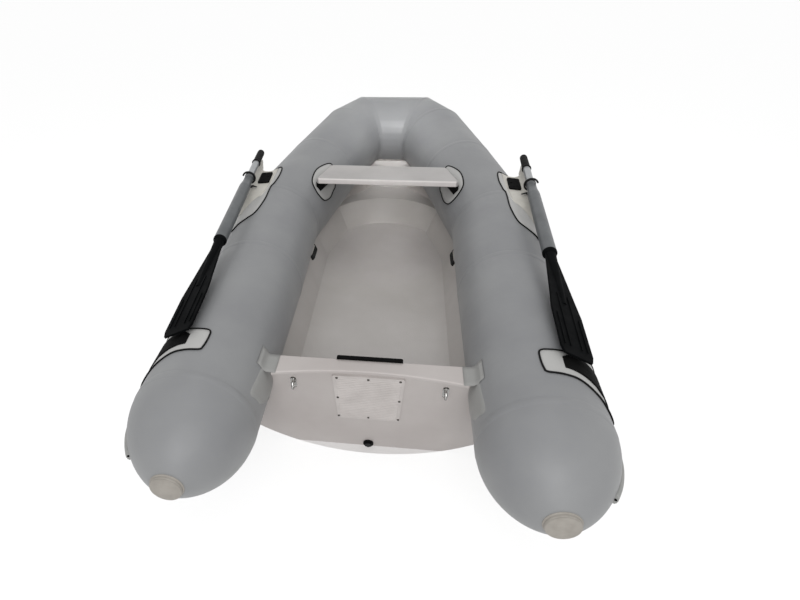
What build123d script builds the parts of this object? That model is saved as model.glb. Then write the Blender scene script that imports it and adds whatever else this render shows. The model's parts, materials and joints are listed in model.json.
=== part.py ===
"""Small rigid inflatable boat (RIB tender), about 3 m long, with its oars stowed.

Millimetres. X is to starboard, Y is forward, Z is up. The origin lies on the centreline, at the
light waterline, below the rear top edge of the transom.
"""
from build123d import *
from math import atan2, cos, radians, sin, sqrt, tan
import os

os.makedirs("parts", exist_ok=True)

# ---------------------------------------------------------------- driving dimensions
TUBE_RADIUS = 210.0           # inflated side tube
HALF_GAP = 350.0              # from the boat's centreline to the side tubes
TUBE_X = HALF_GAP + TUBE_RADIUS
TUBE_Z = 400.0                # height of the side tubes' centreline above the waterline
CONE_START = -215.0           # where the parallel tube ends and the stern cone begins
CONE_END = -475.0             # flat end of the stern cone
CONE_END_RADIUS = 54.0
CAP_RADIUS = 50.0             # moulded end cap on the cone
CAP_THICKNESS = 14.0

# The tube's centreline forward of the parallel part, as corner points.
# columns: inset from TUBE_X, y, rise above TUBE_Z
BOW_CORNERS = (
    (0.0, 650.0, 0.0),
    (0.0, 1193.0, 38.0),
    (152.0, 1738.0, 107.0),
    (292.0, 2150.0, 172.0),
    (390.0, 2276.0, 193.0),
)

TRANSOM_TOP = 460.0           # top of the transom panel, under its capping
TRANSOM_RAKE = 10.0           # degrees, foot forward of the top
TRANSOM_THICKNESS = 56.0
CAPPING_THICKNESS = 12.0
CAPPING_HALF_WIDTH = 338.0
CAPPING_END_OVERHANG = 34.0   # how far the capping's ends stand aft of the panel
CAPPING_FRONT_OVERHANG = 3.0

# Hull bottom, as sections across the boat.
# columns: y, keel height, chine half-breadth, chine height, outward bulge of the bottom panel
HULL_SECTIONS = (
    (40.0, -58.0, 440.0, 90.0, 39.0),
    (380.0, -70.0, 441.0, 89.0, 38.0),
    (720.0, -80.0, 439.0, 90.0, 36.0),
    (1060.0, -86.0, 425.0, 95.0, 32.0),
    (1400.0, -80.0, 383.0, 114.0, 26.0),
    (1700.0, -46.0, 314.0, 156.0, 19.0),
    (1950.0, 30.0, 228.0, 224.0, 12.0),
    (2100.0, 122.0, 152.0, 286.0, 7.0),
    (2200.0, 228.0, 84.0, 342.0, 4.0),
)
RAIL_ACROSS = 0.29            # rail under the tube, as shares of the tube's radius
RAIL_DOWN = 0.94
LIP_ACROSS = 0.80             # inner lip against the tube, likewise
LIP_DOWN = 0.56

DECK_TOP = 160.0
DECK_THICKNESS = 10.0
LINER_WALL = 8.0
LINER_FLARE = 25.0            # degrees, lean of the liner's sides
COCKPIT_HALF_WIDTH = 330.0    # outside of the liner at the deck
COCKPIT_STRAIGHT = 1330.0     # y where the liner starts to close in
COCKPIT_SHOULDER = (205.0, 1790.0)
COCKPIT_NOSE = (72.0, 1960.0)
STEP_TOP = 300.0              # bow step
STEP_SIDE_Y = 1630.0
STEP_HALF_WIDTH = 258.0
STEP_MIDDLE_Y = 1770.0

SEAT_TOP = 650.0
SEAT_THICKNESS = 25.0
SEAT_AFT = 1272.0
SEAT_FORWARD = 1478.0
SEAT_AFT_GAP = 50.0           # from the seat's lower edge to the tube at its aft corners
SEAT_FORWARD_GAP = 19.0       # and at its forward corners

PATCH_THICKNESS = 3.0         # reinforcement patches on the tubes
WIRE_FIT = 0.3                # clearance of loose fits

# Stowed oar: its axis passes these two points, given from the tube's centreline and its top.
OAR_PIVOT = (TUBE_X + 139.0, 1175.0, TUBE_Z + TUBE_RADIUS + 74.0)
OAR_FOOT = (TUBE_X + 104.0, 84.0, TUBE_Z + TUBE_RADIUS + 4.0)
OAR_GRIP_Y = 1505.0
OAR_END_Y = -20.0
OAR_SHAFT_RADIUS = 18.0
OAR_SLEEVE_RADIUS = 28.0
OAR_COLLAR_RADIUS = 22.5      # sleeve's end inside the rowlock
OAR_COLLAR_LENGTH = 52.0
OAR_GRIP_RADIUS = 18.5
OAR_GRIP_LENGTH = 108.0
BLADE_LENGTH = 600.0
BLADE_WIDTH = 120.0
BLADE_THICKNESS = 8.0
BLADE_SPINE_RADIUS = 9.0
BLADE_RIB = (5.0, 3.0)        # width and height above the blade's outer face
BLADE_RIB_PITCH = 24.0

ROWLOCK_WIRE = 4.5
ROWLOCK_RING = 31.0           # radius of the ring's wire centreline
ROWLOCK_MOUTH = 110.0         # degrees left open on the ring's outboard side
ROWLOCK_PIN_RADIUS = 6.0
ROWLOCK_PIN_CLEARANCE = 0.08
PIN_DEPTH = 28.0              # length of the pin below the base's top

BASE_DROP = 48.0              # from the oar's axis down to the base's top, at the pin
BASE_RISE = 0.08              # slope of the base's top, rising forward
BASE_BANK = 0.10              # and rising inboard
BASE_SKIRT = 118.0            # from the base's top down to its foot, at the pin
BASE_FOOT_RISE = 0.35         # slope of the foot, rising forward to the horn
BASE_TAIL_Y = 1085.0          # aft of this the top slopes down to the pad
BASE_TAIL_RISE = 0.34
BASE_SOFTENING = 5.0
INSERT_SIZE = (60.0, 112.0, 8.0)
INSERT_MIDDLE = (-64.0, 88.0)  # inboard and forward of the pin
INSERT_HOLE = 5.0


# ---------------------------------------------------------------- shared helpers
def save(name, part):
    """Label one finished piece and write it as the node of that name."""
    part.label = name
    export_step(part, f"parts/{name}.step")


def save_pair(name, starboard):
    """Write a starboard piece and its mirror image on the port side."""
    save(f"{name}_starboard", starboard)
    with BuildPart() as port:
        add(starboard)
        mirror(about=Plane.YZ, mode=Mode.REPLACE)
    save(f"{name}_port", port.part)


def tube_centre(y):
    """Centre (x, z) of the starboard tube at station y, and its run's heading across the boat."""
    corners = [(TUBE_X - inset, at, TUBE_Z + rise) for inset, at, rise in BOW_CORNERS]
    if y <= corners[0][1]:
        return corners[0][0], corners[0][2], 0.0
    for (x0, y0, z0), (x1, y1, z1) in zip(corners, corners[1:]):
        if y <= y1:
            share = (y - y0) / (y1 - y0)
            return x0 + share * (x1 - x0), z0 + share * (z1 - z0), atan2(x0 - x1, y1 - y0)
    return corners[-1][0], corners[-1][2], atan2(x0 - x1, y1 - y0)


def mitre(before, corner, after):
    """Plane that halves the turn at a corner, facing forward along the tube."""
    normal = (corner - before).normalized() + (after - corner).normalized()
    return Plane(origin=corner, z_dir=normal.normalized())


def mitred_runs(corners, planes, radius):
    """Straight cylinders along the corners, each cut off by the mitre planes at its two ends."""
    runs = []
    for start, end, first, last in zip(corners, corners[1:], planes, planes[1:]):
        along = (end - start).normalized()
        with BuildPart() as run:
            with BuildSketch(Plane(origin=start - along * radius, z_dir=along)):
                Circle(radius)
            extrude(amount=(end - start).length + 2 * radius)
            split(bisect_by=first, keep=Keep.TOP)
            split(bisect_by=last, keep=Keep.BOTTOM)
        runs.append(run.part)
    return runs


def wire_eye(plane, pitch, stand, wire):
    """Sweep a round wire up, over and down on a plane whose x runs along the eye's feet."""
    upright = Plane(origin=plane.origin, x_dir=plane.x_dir, z_dir=-plane.y_dir)
    with BuildPart() as eye:
        with BuildLine(upright):
            leg = Line((-pitch / 2, 0), (-pitch / 2, stand - pitch / 2))
            crown = ThreePointArc(leg @ 1, (0, stand), (pitch / 2, stand - pitch / 2))
            Line(crown @ 1, (pitch / 2, 0))
        with BuildSketch(Plane(origin=plane.from_local_coords((-pitch / 2, 0, 0)), z_dir=plane.z_dir)):
            Circle(wire)
        sweep()
    return eye.part


# ---------------------------------------------------------------- buoyancy tubes
side = [Vector(TUBE_X - inset, y, TUBE_Z + rise) for inset, y, rise in BOW_CORNERS]
other_side = [Vector(-point.X, point.Y, point.Z) for point in side]
aft_point = Vector(TUBE_X, CONE_START, TUBE_Z)
square_cut = Plane(origin=side[0], z_dir=(0, 1, 0))

side_mitres = [mitre(aft_point, side[0], side[1])]
side_mitres += [mitre(a, b, c) for a, b, c in zip(side, side[1:], side[2:] + other_side[-1:])]


def ring_path():
    """Corners and mitre planes of the bow tube, from its starboard joint round to the port one."""
    corners = side[1:] + other_side[1:][::-1]
    planes = [mitre(side[0], side[1], side[2])]
    planes += [mitre(a, b, c) for a, b, c in zip(corners, corners[1:], corners[2:])]
    planes.append(mitre(other_side[2], other_side[1], other_side[0]))
    return corners, planes


def stern_cone(radius_gap):
    """Aft chamber's parallel run and round-sided cone, as one turned solid."""
    radius = TUBE_RADIUS + radius_gap
    with BuildPart() as cone:
        with BuildSketch(Plane(origin=(TUBE_X, 0, TUBE_Z), x_dir=(0, 1, 0), z_dir=(0, 0, 1))):
            with BuildLine():
                Line((side[0].Y + TUBE_RADIUS, 0), (CONE_END, 0))
                Line((CONE_END, 0), (CONE_END, CONE_END_RADIUS + radius_gap))
                shoulder = (CONE_START, radius)
                TangentArc(shoulder, (CONE_END, CONE_END_RADIUS + radius_gap), tangent=(-1, 0))
                Line(shoulder, (side[0].Y + TUBE_RADIUS, radius))
                Line((side[0].Y + TUBE_RADIUS, radius), (side[0].Y + TUBE_RADIUS, 0))
            make_face()
        revolve(axis=Axis((TUBE_X, 0, TUBE_Z), (0, 1, 0)))
        split(bisect_by=side_mitres[0], keep=Keep.BOTTOM)
    return cone.part


def side_tube(radius_gap=0.0):
    """Whole starboard chamber, up to the joint with the bow tube."""
    pieces = [stern_cone(radius_gap)]
    pieces += mitred_runs(side[:2], side_mitres[:2], TUBE_RADIUS + radius_gap)
    with BuildPart() as tube:
        for piece in pieces:
            add(piece)
    return tube.part


def bow_chamber(radius_gap=0.0):
    """Bow tube with its mitred corners."""
    corners, planes = ring_path()
    pieces = mitred_runs(corners, planes, TUBE_RADIUS + radius_gap)
    with BuildPart() as tube:
        for piece in pieces:
            add(piece)
    return tube.part


tube_starboard = side_tube()
bow_tube = bow_chamber()
save_pair("side_tube", tube_starboard)
save("bow_tube", bow_tube)

with BuildPart() as all_tubes:
    add(tube_starboard)
    mirror(about=Plane.YZ)
    add(bow_tube)

with BuildPart() as cone_cap:
    with BuildSketch(Plane(origin=(TUBE_X, CONE_END, TUBE_Z), z_dir=(0, -1, 0))):
        Circle(CAP_RADIUS)
    extrude(amount=CAP_THICKNESS)
    fillet(cone_cap.faces().sort_by(Axis.Y)[0].edges(), radius=5)
save_pair("cone_cap", cone_cap.part)

# ---------------------------------------------------------------- hull, deck liner, transom
def hull_section(y, keel, chine_x, chine_z, bulge):
    """Closed outline of the hull at one station, from the keel up to the tubes."""
    centre_x, centre_z, heading = tube_centre(y)
    across = TUBE_RADIUS / cos(heading)
    rail = (centre_x - RAIL_ACROSS * across, centre_z - RAIL_DOWN * TUBE_RADIUS)
    lip = (centre_x - LIP_ACROSS * across, centre_z - LIP_DOWN * TUBE_RADIUS)
    panel = sqrt(chine_x ** 2 + (chine_z - keel) ** 2)
    belly = (chine_x / 2 + bulge * (chine_z - keel) / panel, (chine_z + keel) / 2 - bulge * chine_x / panel)
    with BuildSketch(Plane(origin=(0, y, 0), x_dir=(1, 0, 0), z_dir=(0, -1, 0))) as section:
        with BuildLine():
            ThreePointArc((-chine_x, chine_z), (-belly[0], belly[1]), (0, keel))
            ThreePointArc((0, keel), belly, (chine_x, chine_z))
            Polyline((chine_x, chine_z), rail, lip, (-lip[0], lip[1]), (-rail[0], rail[1]), (-chine_x, chine_z))
        make_face()
    return section.sketch


with BuildPart() as hull_form:
    for station in HULL_SECTIONS:
        add(hull_section(*station))
    loft(ruled=True)


def cockpit_plan(inset):
    """Corners of the liner in plan, moved in by a wall's thickness, from aft on the starboard side."""
    return [
        (COCKPIT_HALF_WIDTH - inset, 0.0),
        (COCKPIT_HALF_WIDTH - inset, COCKPIT_STRAIGHT),
        (COCKPIT_SHOULDER[0] - inset, COCKPIT_SHOULDER[1] - inset / 2),
        (COCKPIT_NOSE[0] - inset, COCKPIT_NOSE[1] - inset),
    ]


def flared_tray(inset, floor, height):
    """Tray with outward-leaning sides on the cockpit plan."""
    half = cockpit_plan(inset)
    outline = half + [(-x, y) for x, y in half[::-1]]
    with BuildPart() as tray:
        with BuildSketch(Plane.XY.offset(floor)):
            with BuildLine():
                Polyline(*outline, close=True)
            make_face()
        extrude(amount=height, taper=-LINER_FLARE)
    return tray.part


TRAY_HEIGHT = 300.0
flare = tan(radians(LINER_FLARE))
tray_outside = flared_tray(0.0, DECK_TOP - DECK_THICKNESS, TRAY_HEIGHT)
wall_slant = LINER_WALL / cos(radians(LINER_FLARE))
upper_inset = wall_slant - (STEP_TOP - (DECK_TOP - DECK_THICKNESS)) * flare
upper_void = flared_tray(upper_inset, STEP_TOP, TRAY_HEIGHT - (STEP_TOP - DECK_TOP) + 10.0)
well_inset = wall_slant - DECK_THICKNESS * flare
well_half = COCKPIT_HALF_WIDTH - well_inset

with BuildPart() as well:
    with BuildSketch(Plane.XY.offset(DECK_TOP)):
        with BuildLine():
            sides = Polyline(
                (STEP_HALF_WIDTH, STEP_SIDE_Y),
                (well_half, COCKPIT_STRAIGHT),
                (well_half, 0),
                (-well_half, 0),
                (-well_half, COCKPIT_STRAIGHT),
                (-STEP_HALF_WIDTH, STEP_SIDE_Y),
            )
            ThreePointArc(sides @ 1, (0, STEP_MIDDLE_Y), sides @ 0)
        make_face()
    extrude(amount=STEP_TOP - DECK_TOP + 1.0, taper=-LINER_FLARE)


rake = radians(TRANSOM_RAKE)
across_rake = Vector(0, cos(rake), sin(rake))
rear_plane = Plane(origin=(0, 0, TRANSOM_TOP + CAPPING_THICKNESS), x_dir=(1, 0, 0), z_dir=across_rake)
front_plane = rear_plane.offset(TRANSOM_THICKNESS)


def on_transom(x, height):
    """Point of the transom's rear face, as the rear plane's own coordinates (x, distance down)."""
    return (x, (TRANSOM_TOP + CAPPING_THICKNESS - height) / cos(rake))


def at_transom(height):
    """Row Y of the transom's rear face at a height."""
    return (TRANSOM_TOP + CAPPING_THICKNESS - height) * tan(rake)


with BuildPart() as hull:
    add(hull_form)
    split(bisect_by=front_plane, keep=Keep.TOP)
    add(tray_outside, mode=Mode.SUBTRACT)
    add(all_tubes, mode=Mode.SUBTRACT)
save("hull", hull.part)

with BuildPart() as deck_liner:
    add(tray_outside)
    add(upper_void, mode=Mode.SUBTRACT)
    add(well, mode=Mode.SUBTRACT)
    split(bisect_by=front_plane, keep=Keep.TOP)
    add(all_tubes, mode=Mode.SUBTRACT)
save("deck_liner", deck_liner.part)

with BuildPart() as transom:
    add(hull_form)
    with BuildSketch(Plane(origin=(0, HULL_SECTIONS[0][0], 0), x_dir=(1, 0, 0), z_dir=(0, -1, 0))):
        with BuildLine():
            shoulder_x = TUBE_X - 0.3 * TUBE_RADIUS
            foot_z = TUBE_Z - 1.1 * TUBE_RADIUS
            Polyline(
                (-0.92 * shoulder_x, foot_z),
                (0.92 * shoulder_x, foot_z),
                (shoulder_x, TUBE_Z - 0.9 * TUBE_RADIUS),
                (shoulder_x, TRANSOM_TOP),
                (-shoulder_x, TRANSOM_TOP),
                (-shoulder_x, TUBE_Z - 0.9 * TUBE_RADIUS),
                close=True,
            )
        make_face()
    extrude(amount=-150, both=True)
    split(bisect_by=rear_plane, keep=Keep.TOP)
    split(bisect_by=front_plane, keep=Keep.BOTTOM)
    add(all_tubes, mode=Mode.SUBTRACT)
save("transom", transom.part)

# ---------------------------------------------------------------- transom fittings
PLATE_TOP = 448.0
PLATE_BOTTOM = 194.0
PLATE_TOP_HALF_WIDTH = 128.0
PLATE_BOTTOM_HALF_WIDTH = 116.0
PLATE_THICKNESS = 6.0
with BuildPart() as motor_plate:
    with BuildSketch(rear_plane) as plate_outline:
        with BuildLine():
            Polyline(
                on_transom(-PLATE_TOP_HALF_WIDTH, PLATE_TOP),
                on_transom(PLATE_TOP_HALF_WIDTH, PLATE_TOP),
                on_transom(PLATE_BOTTOM_HALF_WIDTH, PLATE_BOTTOM),
                on_transom(-PLATE_BOTTOM_HALF_WIDTH, PLATE_BOTTOM),
                close=True,
            )
        make_face()
        fillet(plate_outline.vertices(), radius=8)
    extrude(amount=-PLATE_THICKNESS)
save("motor_plate", motor_plate.part)

PAD_HALF_WIDTH = 118.0
PAD_TOP = 470.0
PAD_BOTTOM = 330.0
PAD_THICKNESS = 14.0
with BuildPart() as inner_pad:
    with BuildSketch(front_plane) as pad_outline:
        with BuildLine():
            Polyline(
                on_transom(-PAD_HALF_WIDTH, PAD_TOP),
                on_transom(PAD_HALF_WIDTH, PAD_TOP),
                on_transom(PAD_HALF_WIDTH, PAD_BOTTOM),
                on_transom(-PAD_HALF_WIDTH, PAD_BOTTOM),
                close=True,
            )
        make_face()
        fillet(pad_outline.vertices(), radius=8)
    extrude(amount=PAD_THICKNESS)
save("motor_pad", inner_pad.part)

cap_front = at_transom(TRANSOM_TOP) + TRANSOM_THICKNESS / cos(rake) + CAPPING_FRONT_OVERHANG
with BuildPart() as capping:
    with BuildSketch(Plane.XY.offset(TRANSOM_TOP)):
        with BuildLine():
            front = Line((-CAPPING_HALF_WIDTH, cap_front), (CAPPING_HALF_WIDTH, cap_front))
            end = Line(front @ 1, (CAPPING_HALF_WIDTH, -CAPPING_END_OVERHANG))
            rear = ThreePointArc(end @ 1, (0, 0), (-CAPPING_HALF_WIDTH, -CAPPING_END_OVERHANG))
            Line(rear @ 1, front @ 0)
        make_face()
    extrude(amount=CAPPING_THICKNESS)
    fillet(capping.faces().sort_by(Axis.Z)[-1].edges(), radius=5)
    add(inner_pad, mode=Mode.SUBTRACT)
save("transom_capping", capping.part)

U_BOLT_X = 271.0
U_BOLT_Z = 388.0
U_BOLT_WIRE = 4.0
U_BOLT_PITCH = 34.0
U_BOLT_STAND = 26.0
U_PLATE = (22.0, 52.0, 3.0)
u_plane = Plane(origin=rear_plane.from_local_coords((*on_transom(U_BOLT_X, U_BOLT_Z), 0)),
                x_dir=(0, -sin(rake), cos(rake)), z_dir=-across_rake)
u_wire = wire_eye(u_plane, U_BOLT_PITCH, U_BOLT_STAND, U_BOLT_WIRE)
with BuildPart() as u_bolt:
    with BuildSketch(u_plane):
        SlotOverall(U_PLATE[1], U_PLATE[0])
    extrude(amount=U_PLATE[2])
    add(u_wire)
save_pair("u_bolt", u_bolt.part)

DRAIN_Z = 22.0
DRAIN_RADIUS = 20.0
DRAIN_STAND = 14.0
drain_plane = Plane(origin=rear_plane.from_local_coords((*on_transom(0, DRAIN_Z), 0)),
                    z_dir=-across_rake)
with BuildPart() as drain_plug:
    with BuildSketch(drain_plane):
        Circle(DRAIN_RADIUS)
    extrude(amount=5)
    with BuildSketch(drain_plane.offset(5)):
        RegularPolygon(DRAIN_RADIUS * 0.72, 6)
    extrude(amount=DRAIN_STAND - 5)
save("drain_plug", drain_plug.part)


# ---------------------------------------------------------------- patches on the tubes
def patch_shell(thickness):
    """The tubes' skin thickened outward, without the tubes themselves."""
    with BuildPart() as shell:
        add(side_tube(thickness))
        add(bow_chamber(thickness))
        add(all_tubes, mode=Mode.SUBTRACT)
    return shell.part


skin = patch_shell(PATCH_THICKNESS)


def side_patch(points, plane, depth):
    """Patch of the tube's skin inside an outline drawn on a plane, taken through a depth."""
    with BuildPart() as patch:
        with BuildSketch(plane) as outline:
            with BuildLine():
                Polyline(*points, close=True)
            make_face()
        extrude(amount=depth)
        add(skin, mode=Mode.INTERSECT)
    return patch.part


def seat_end(y, gap):
    """Half width of the seat at station y: a gap short of the tube's skin at the seat's lower face."""
    centre_x, centre_z, heading = tube_centre(y)
    drop = SEAT_TOP - SEAT_THICKNESS - centre_z
    return centre_x - sqrt(TUBE_RADIUS ** 2 - drop ** 2) / cos(heading) - gap


seat_aft = seat_end(SEAT_AFT, SEAT_AFT_GAP)
seat_forward = seat_end(SEAT_FORWARD, SEAT_FORWARD_GAP)


def beside_seat(share, outboard):
    """Plan point at a share of the seat's length forward and a distance outboard of its end."""
    return (seat_aft + share * (seat_forward - seat_aft) + outboard, SEAT_AFT + share * (SEAT_FORWARD - SEAT_AFT))


# columns: share of the seat's length, distance outboard of the seat's end
SEAT_PAD_OUTLINE = ((0.19, 50.0), (-0.05, 13.0), (-0.07, -48.0), (0.28, -62.0), (0.77, -42.0), (1.20, 24.0), (0.86, 70.0))
seat_pad = side_patch([beside_seat(*point) for point in SEAT_PAD_OUTLINE], Plane.XY.offset(TUBE_Z + 60), 250)
save_pair("seat_pad", seat_pad)

# Seen from above; columns: distance outboard of the tube's centreline aft, y
ROWLOCK_PAD_OUTLINE = ((150, 800), (96, 822), (62, 885), (32, 1000), (28, 1160), (10, 1290), (14, 1390), (140, 1390), (192, 1280), (196, 1000))
rowlock_pad = side_patch([(TUBE_X + out, y) for out, y in ROWLOCK_PAD_OUTLINE], Plane.XY.offset(TUBE_Z + 100), 250)
save_pair("rowlock_pad", rowlock_pad)

# columns as above
HOLDER_PAD_OUTLINE = ((50, 35), (0, 20), (-24, -20), (-20, -90), (50, -92), (130, -124), (206, -150), (206, 50), (130, 60))
holder_pad = side_patch([(TUBE_X + out, y) for out, y in HOLDER_PAD_OUTLINE], Plane.XY.offset(TUBE_Z), 300)
save_pair("holder_pad", holder_pad)

STRAP_THICKNESS = 3.0
STRAP_FOOT = 22.0              # above the tube's centreline, clear of the strake
# columns as above
CRADLE_OUTLINE = ((34, 30), (30, -62), (120, -94), (230, -112), (230, 20), (120, 34))
with BuildPart() as cradle_skin:
    add(side_tube(PATCH_THICKNESS + STRAP_THICKNESS))
    add(side_tube(PATCH_THICKNESS), mode=Mode.SUBTRACT)
with BuildPart() as holder_strap:
    with BuildSketch(Plane.XY.offset(TUBE_Z + STRAP_FOOT)):
        with BuildLine():
            Polyline(*[(TUBE_X + out, y) for out, y in CRADLE_OUTLINE], close=True)
        make_face()
    extrude(amount=300)
    add(cradle_skin, mode=Mode.INTERSECT)
save_pair("holder_strap", holder_strap.part)

# Seen from the side; columns: y, z
GUSSET_OUTLINE = ((150, 474), (0, 492), (-170, 500), (-150, 430), (0, 330), (20, 215), (150, 215))
with BuildPart() as gusset:
    with BuildSketch(Plane.YZ.offset(TUBE_X - TUBE_RADIUS - 40)):
        with BuildLine():
            Polyline(*GUSSET_OUTLINE, close=True)
        make_face()
    extrude(amount=200)
    add(skin, mode=Mode.INTERSECT)
    with BuildSketch(rear_plane):
        with Locations((TUBE_X, 300)):
            Rectangle(900, 900)
    extrude(amount=TRANSOM_THICKNESS, mode=Mode.SUBTRACT)
    split(bisect_by=rear_plane, keep=Keep.BOTTOM)
save_pair("transom_gusset", gusset.part)

# ---------------------------------------------------------------- seat
with BuildPart() as seat:
    with BuildSketch(Plane.XY.offset(SEAT_TOP - SEAT_THICKNESS)) as seat_outline:
        with BuildLine():
            Polyline(
                (-seat_aft, SEAT_AFT),
                (seat_aft, SEAT_AFT),
                (seat_forward, SEAT_FORWARD),
                (-seat_forward, SEAT_FORWARD),
                close=True,
            )
        make_face()
        fillet(seat_outline.vertices(), radius=16)
    extrude(amount=SEAT_THICKNESS)
    fillet(seat.faces().sort_by(Axis.Z)[-1].edges(), radius=6)
save("seat", seat.part)

# Section across the boat; columns: distance outboard of the seat's aft corner, drop below the seat
BRACKET_SECTION = ((-54.0, 0.0), (4.0, 0.0), (4.0, 60.0), (-10.0, 60.0))
BRACKET_INSET = 18.0          # from the seat's aft and forward edges
along_end = Vector(seat_forward - seat_aft, SEAT_FORWARD - SEAT_AFT, 0)
with BuildPart() as seat_bracket:
    start = Vector(seat_aft, SEAT_AFT, SEAT_TOP - SEAT_THICKNESS) + along_end.normalized() * BRACKET_INSET
    with BuildSketch(Plane(origin=start, x_dir=(1, 0, 0), z_dir=(0, -1, 0))):
        with BuildLine():
            Polyline(*[(out, -drop) for out, drop in BRACKET_SECTION], close=True)
        make_face()
    extrude(amount=along_end.length - 2 * BRACKET_INSET, dir=along_end)
    add(all_tubes, mode=Mode.SUBTRACT)
    add(skin, mode=Mode.SUBTRACT)
save_pair("seat_bracket", seat_bracket.part)

# ---------------------------------------------------------------- strap loops inside the cockpit
LOOP_Y = 1000.0
LOOP_Z = 366.0
LOOP_LENGTH = 130.0
LOOP_STAND = 20.0
LOOP_WEBBING = (28.0, 3.0)
LOOP_FOOT = 22.0
loop_x = TUBE_X - TUBE_RADIUS + 4.0
with BuildPart() as strap_loop:
    with BuildSketch(Plane.XY.offset(LOOP_Z - LOOP_WEBBING[0] / 2)):
        with BuildLine():
            half = LOOP_LENGTH / 2
            crown = ThreePointArc((loop_x, LOOP_Y - half), (loop_x - LOOP_STAND, LOOP_Y), (loop_x, LOOP_Y + half))
            offset(crown, amount=LOOP_WEBBING[1], side=Side.RIGHT, closed=True)
        make_face()
    extrude(amount=LOOP_WEBBING[0])
    add(all_tubes, mode=Mode.SUBTRACT)
save_pair("strap_loop", strap_loop.part)

# ---------------------------------------------------------------- rubbing strake
STRAKE_HEIGHT = 36.0
STRAKE_STAND = 11.0
STRAKE_HOLLOW = 3.5
STRAKE_TAIL = 34.0            # degrees that the strake follows round the stern cone


def strake_profile(plane):
    """D-shaped section with its back sunk into the tube and a hollow core."""
    with BuildSketch(plane) as profile:
        with BuildLine():
            back = Line((-8, STRAKE_HEIGHT / 2), (-8, -STRAKE_HEIGHT / 2))
            ThreePointArc(back @ 1, (STRAKE_STAND, 0), back @ 0)
        make_face()
        with Locations((STRAKE_STAND / 2, 0)):
            Circle(STRAKE_HOLLOW, mode=Mode.SUBTRACT)
    return profile.sketch


def strake_runs():
    """Strake from the stern cone round the bow to the middle of the nose, on the starboard side."""
    corners = [aft_point] + side + [Vector(0, side[-1].Y, side[-1].Z)]
    planes = [Plane(origin=aft_point, z_dir=(0, 1, 0))] + side_mitres
    planes.append(Plane(origin=corners[-1], z_dir=(-1, 0, 0)))
    runs = []
    for start, end, first, last in zip(corners, corners[1:], planes, planes[1:]):
        along = (end - start).normalized()
        outward = along.cross(Vector(0, 0, 1)).normalized()
        with BuildPart() as run:
            add(strake_profile(Plane(origin=start + outward * TUBE_RADIUS - along * TUBE_RADIUS,
                                     x_dir=outward, z_dir=along)))
            extrude(amount=(end - start).length + 2 * TUBE_RADIUS, dir=along)
            split(bisect_by=first, keep=Keep.TOP)
            split(bisect_by=last, keep=Keep.BOTTOM)
        runs.append(run.part)
    return runs


cone_sag = TUBE_RADIUS - CONE_END_RADIUS
cone_arc = ((CONE_START - CONE_END) ** 2 + cone_sag ** 2) / (2 * cone_sag)
with BuildPart() as strake_tail:
    add(strake_profile(Plane(origin=(TUBE_X + TUBE_RADIUS, CONE_START, TUBE_Z), x_dir=(1, 0, 0), z_dir=(0, 1, 0))))
    revolve(axis=Axis((TUBE_X + TUBE_RADIUS - cone_arc, CONE_START, TUBE_Z), (0, 0, -1)), revolution_arc=STRAKE_TAIL)

with BuildPart() as strake:
    add(strake_tail)
    for piece in strake_runs():
        add(piece)
    add(all_tubes, mode=Mode.SUBTRACT)
save_pair("rub_strake", strake.part)

# ---------------------------------------------------------------- bow towing eye
TOW_WIRE = 5.0
TOW_PITCH = 50.0
TOW_STAND = 44.0
TOW_PLATE = (24.0, 78.0, 4.0)
lower, upper = [Vector(0, station[0], station[1]) for station in HULL_SECTIONS[-3:-1]]
stem_up = (upper - lower).normalized()
stem_out = Vector(0, stem_up.Z, -stem_up.Y)
eye_centre = (lower + upper) * 0.5


eye_plane = Plane(origin=eye_centre, x_dir=stem_up, z_dir=stem_out)
tow_wire = wire_eye(eye_plane, TOW_PITCH, TOW_STAND, TOW_WIRE)
with BuildPart() as tow_eye:
    with BuildSketch(eye_plane):
        SlotOverall(TOW_PLATE[1], TOW_PLATE[0])
    extrude(amount=TOW_PLATE[2])
    add(tow_wire)
save("tow_eye", tow_eye.part)

# ---------------------------------------------------------------- rowlock and its moulded base
pivot = Vector(*OAR_PIVOT)
oar_axis = (pivot - Vector(*OAR_FOOT)).normalized()
base_top = Plane(origin=(pivot.X, pivot.Y, pivot.Z - BASE_DROP), x_dir=(1, 0, -BASE_BANK), z_dir=(BASE_BANK, -BASE_RISE, 1))
base_foot = Plane(origin=base_top.origin - Vector(0, 0, BASE_SKIRT), x_dir=(1, 0, 0), z_dir=(0, -BASE_FOOT_RISE, 1))
tail_height = BASE_DROP + BASE_RISE * (pivot.Y - BASE_TAIL_Y)
base_tail = Plane(origin=(pivot.X, BASE_TAIL_Y, pivot.Z - tail_height), x_dir=(1, 0, -BASE_BANK), z_dir=(BASE_BANK, -BASE_TAIL_RISE, 1))
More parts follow.
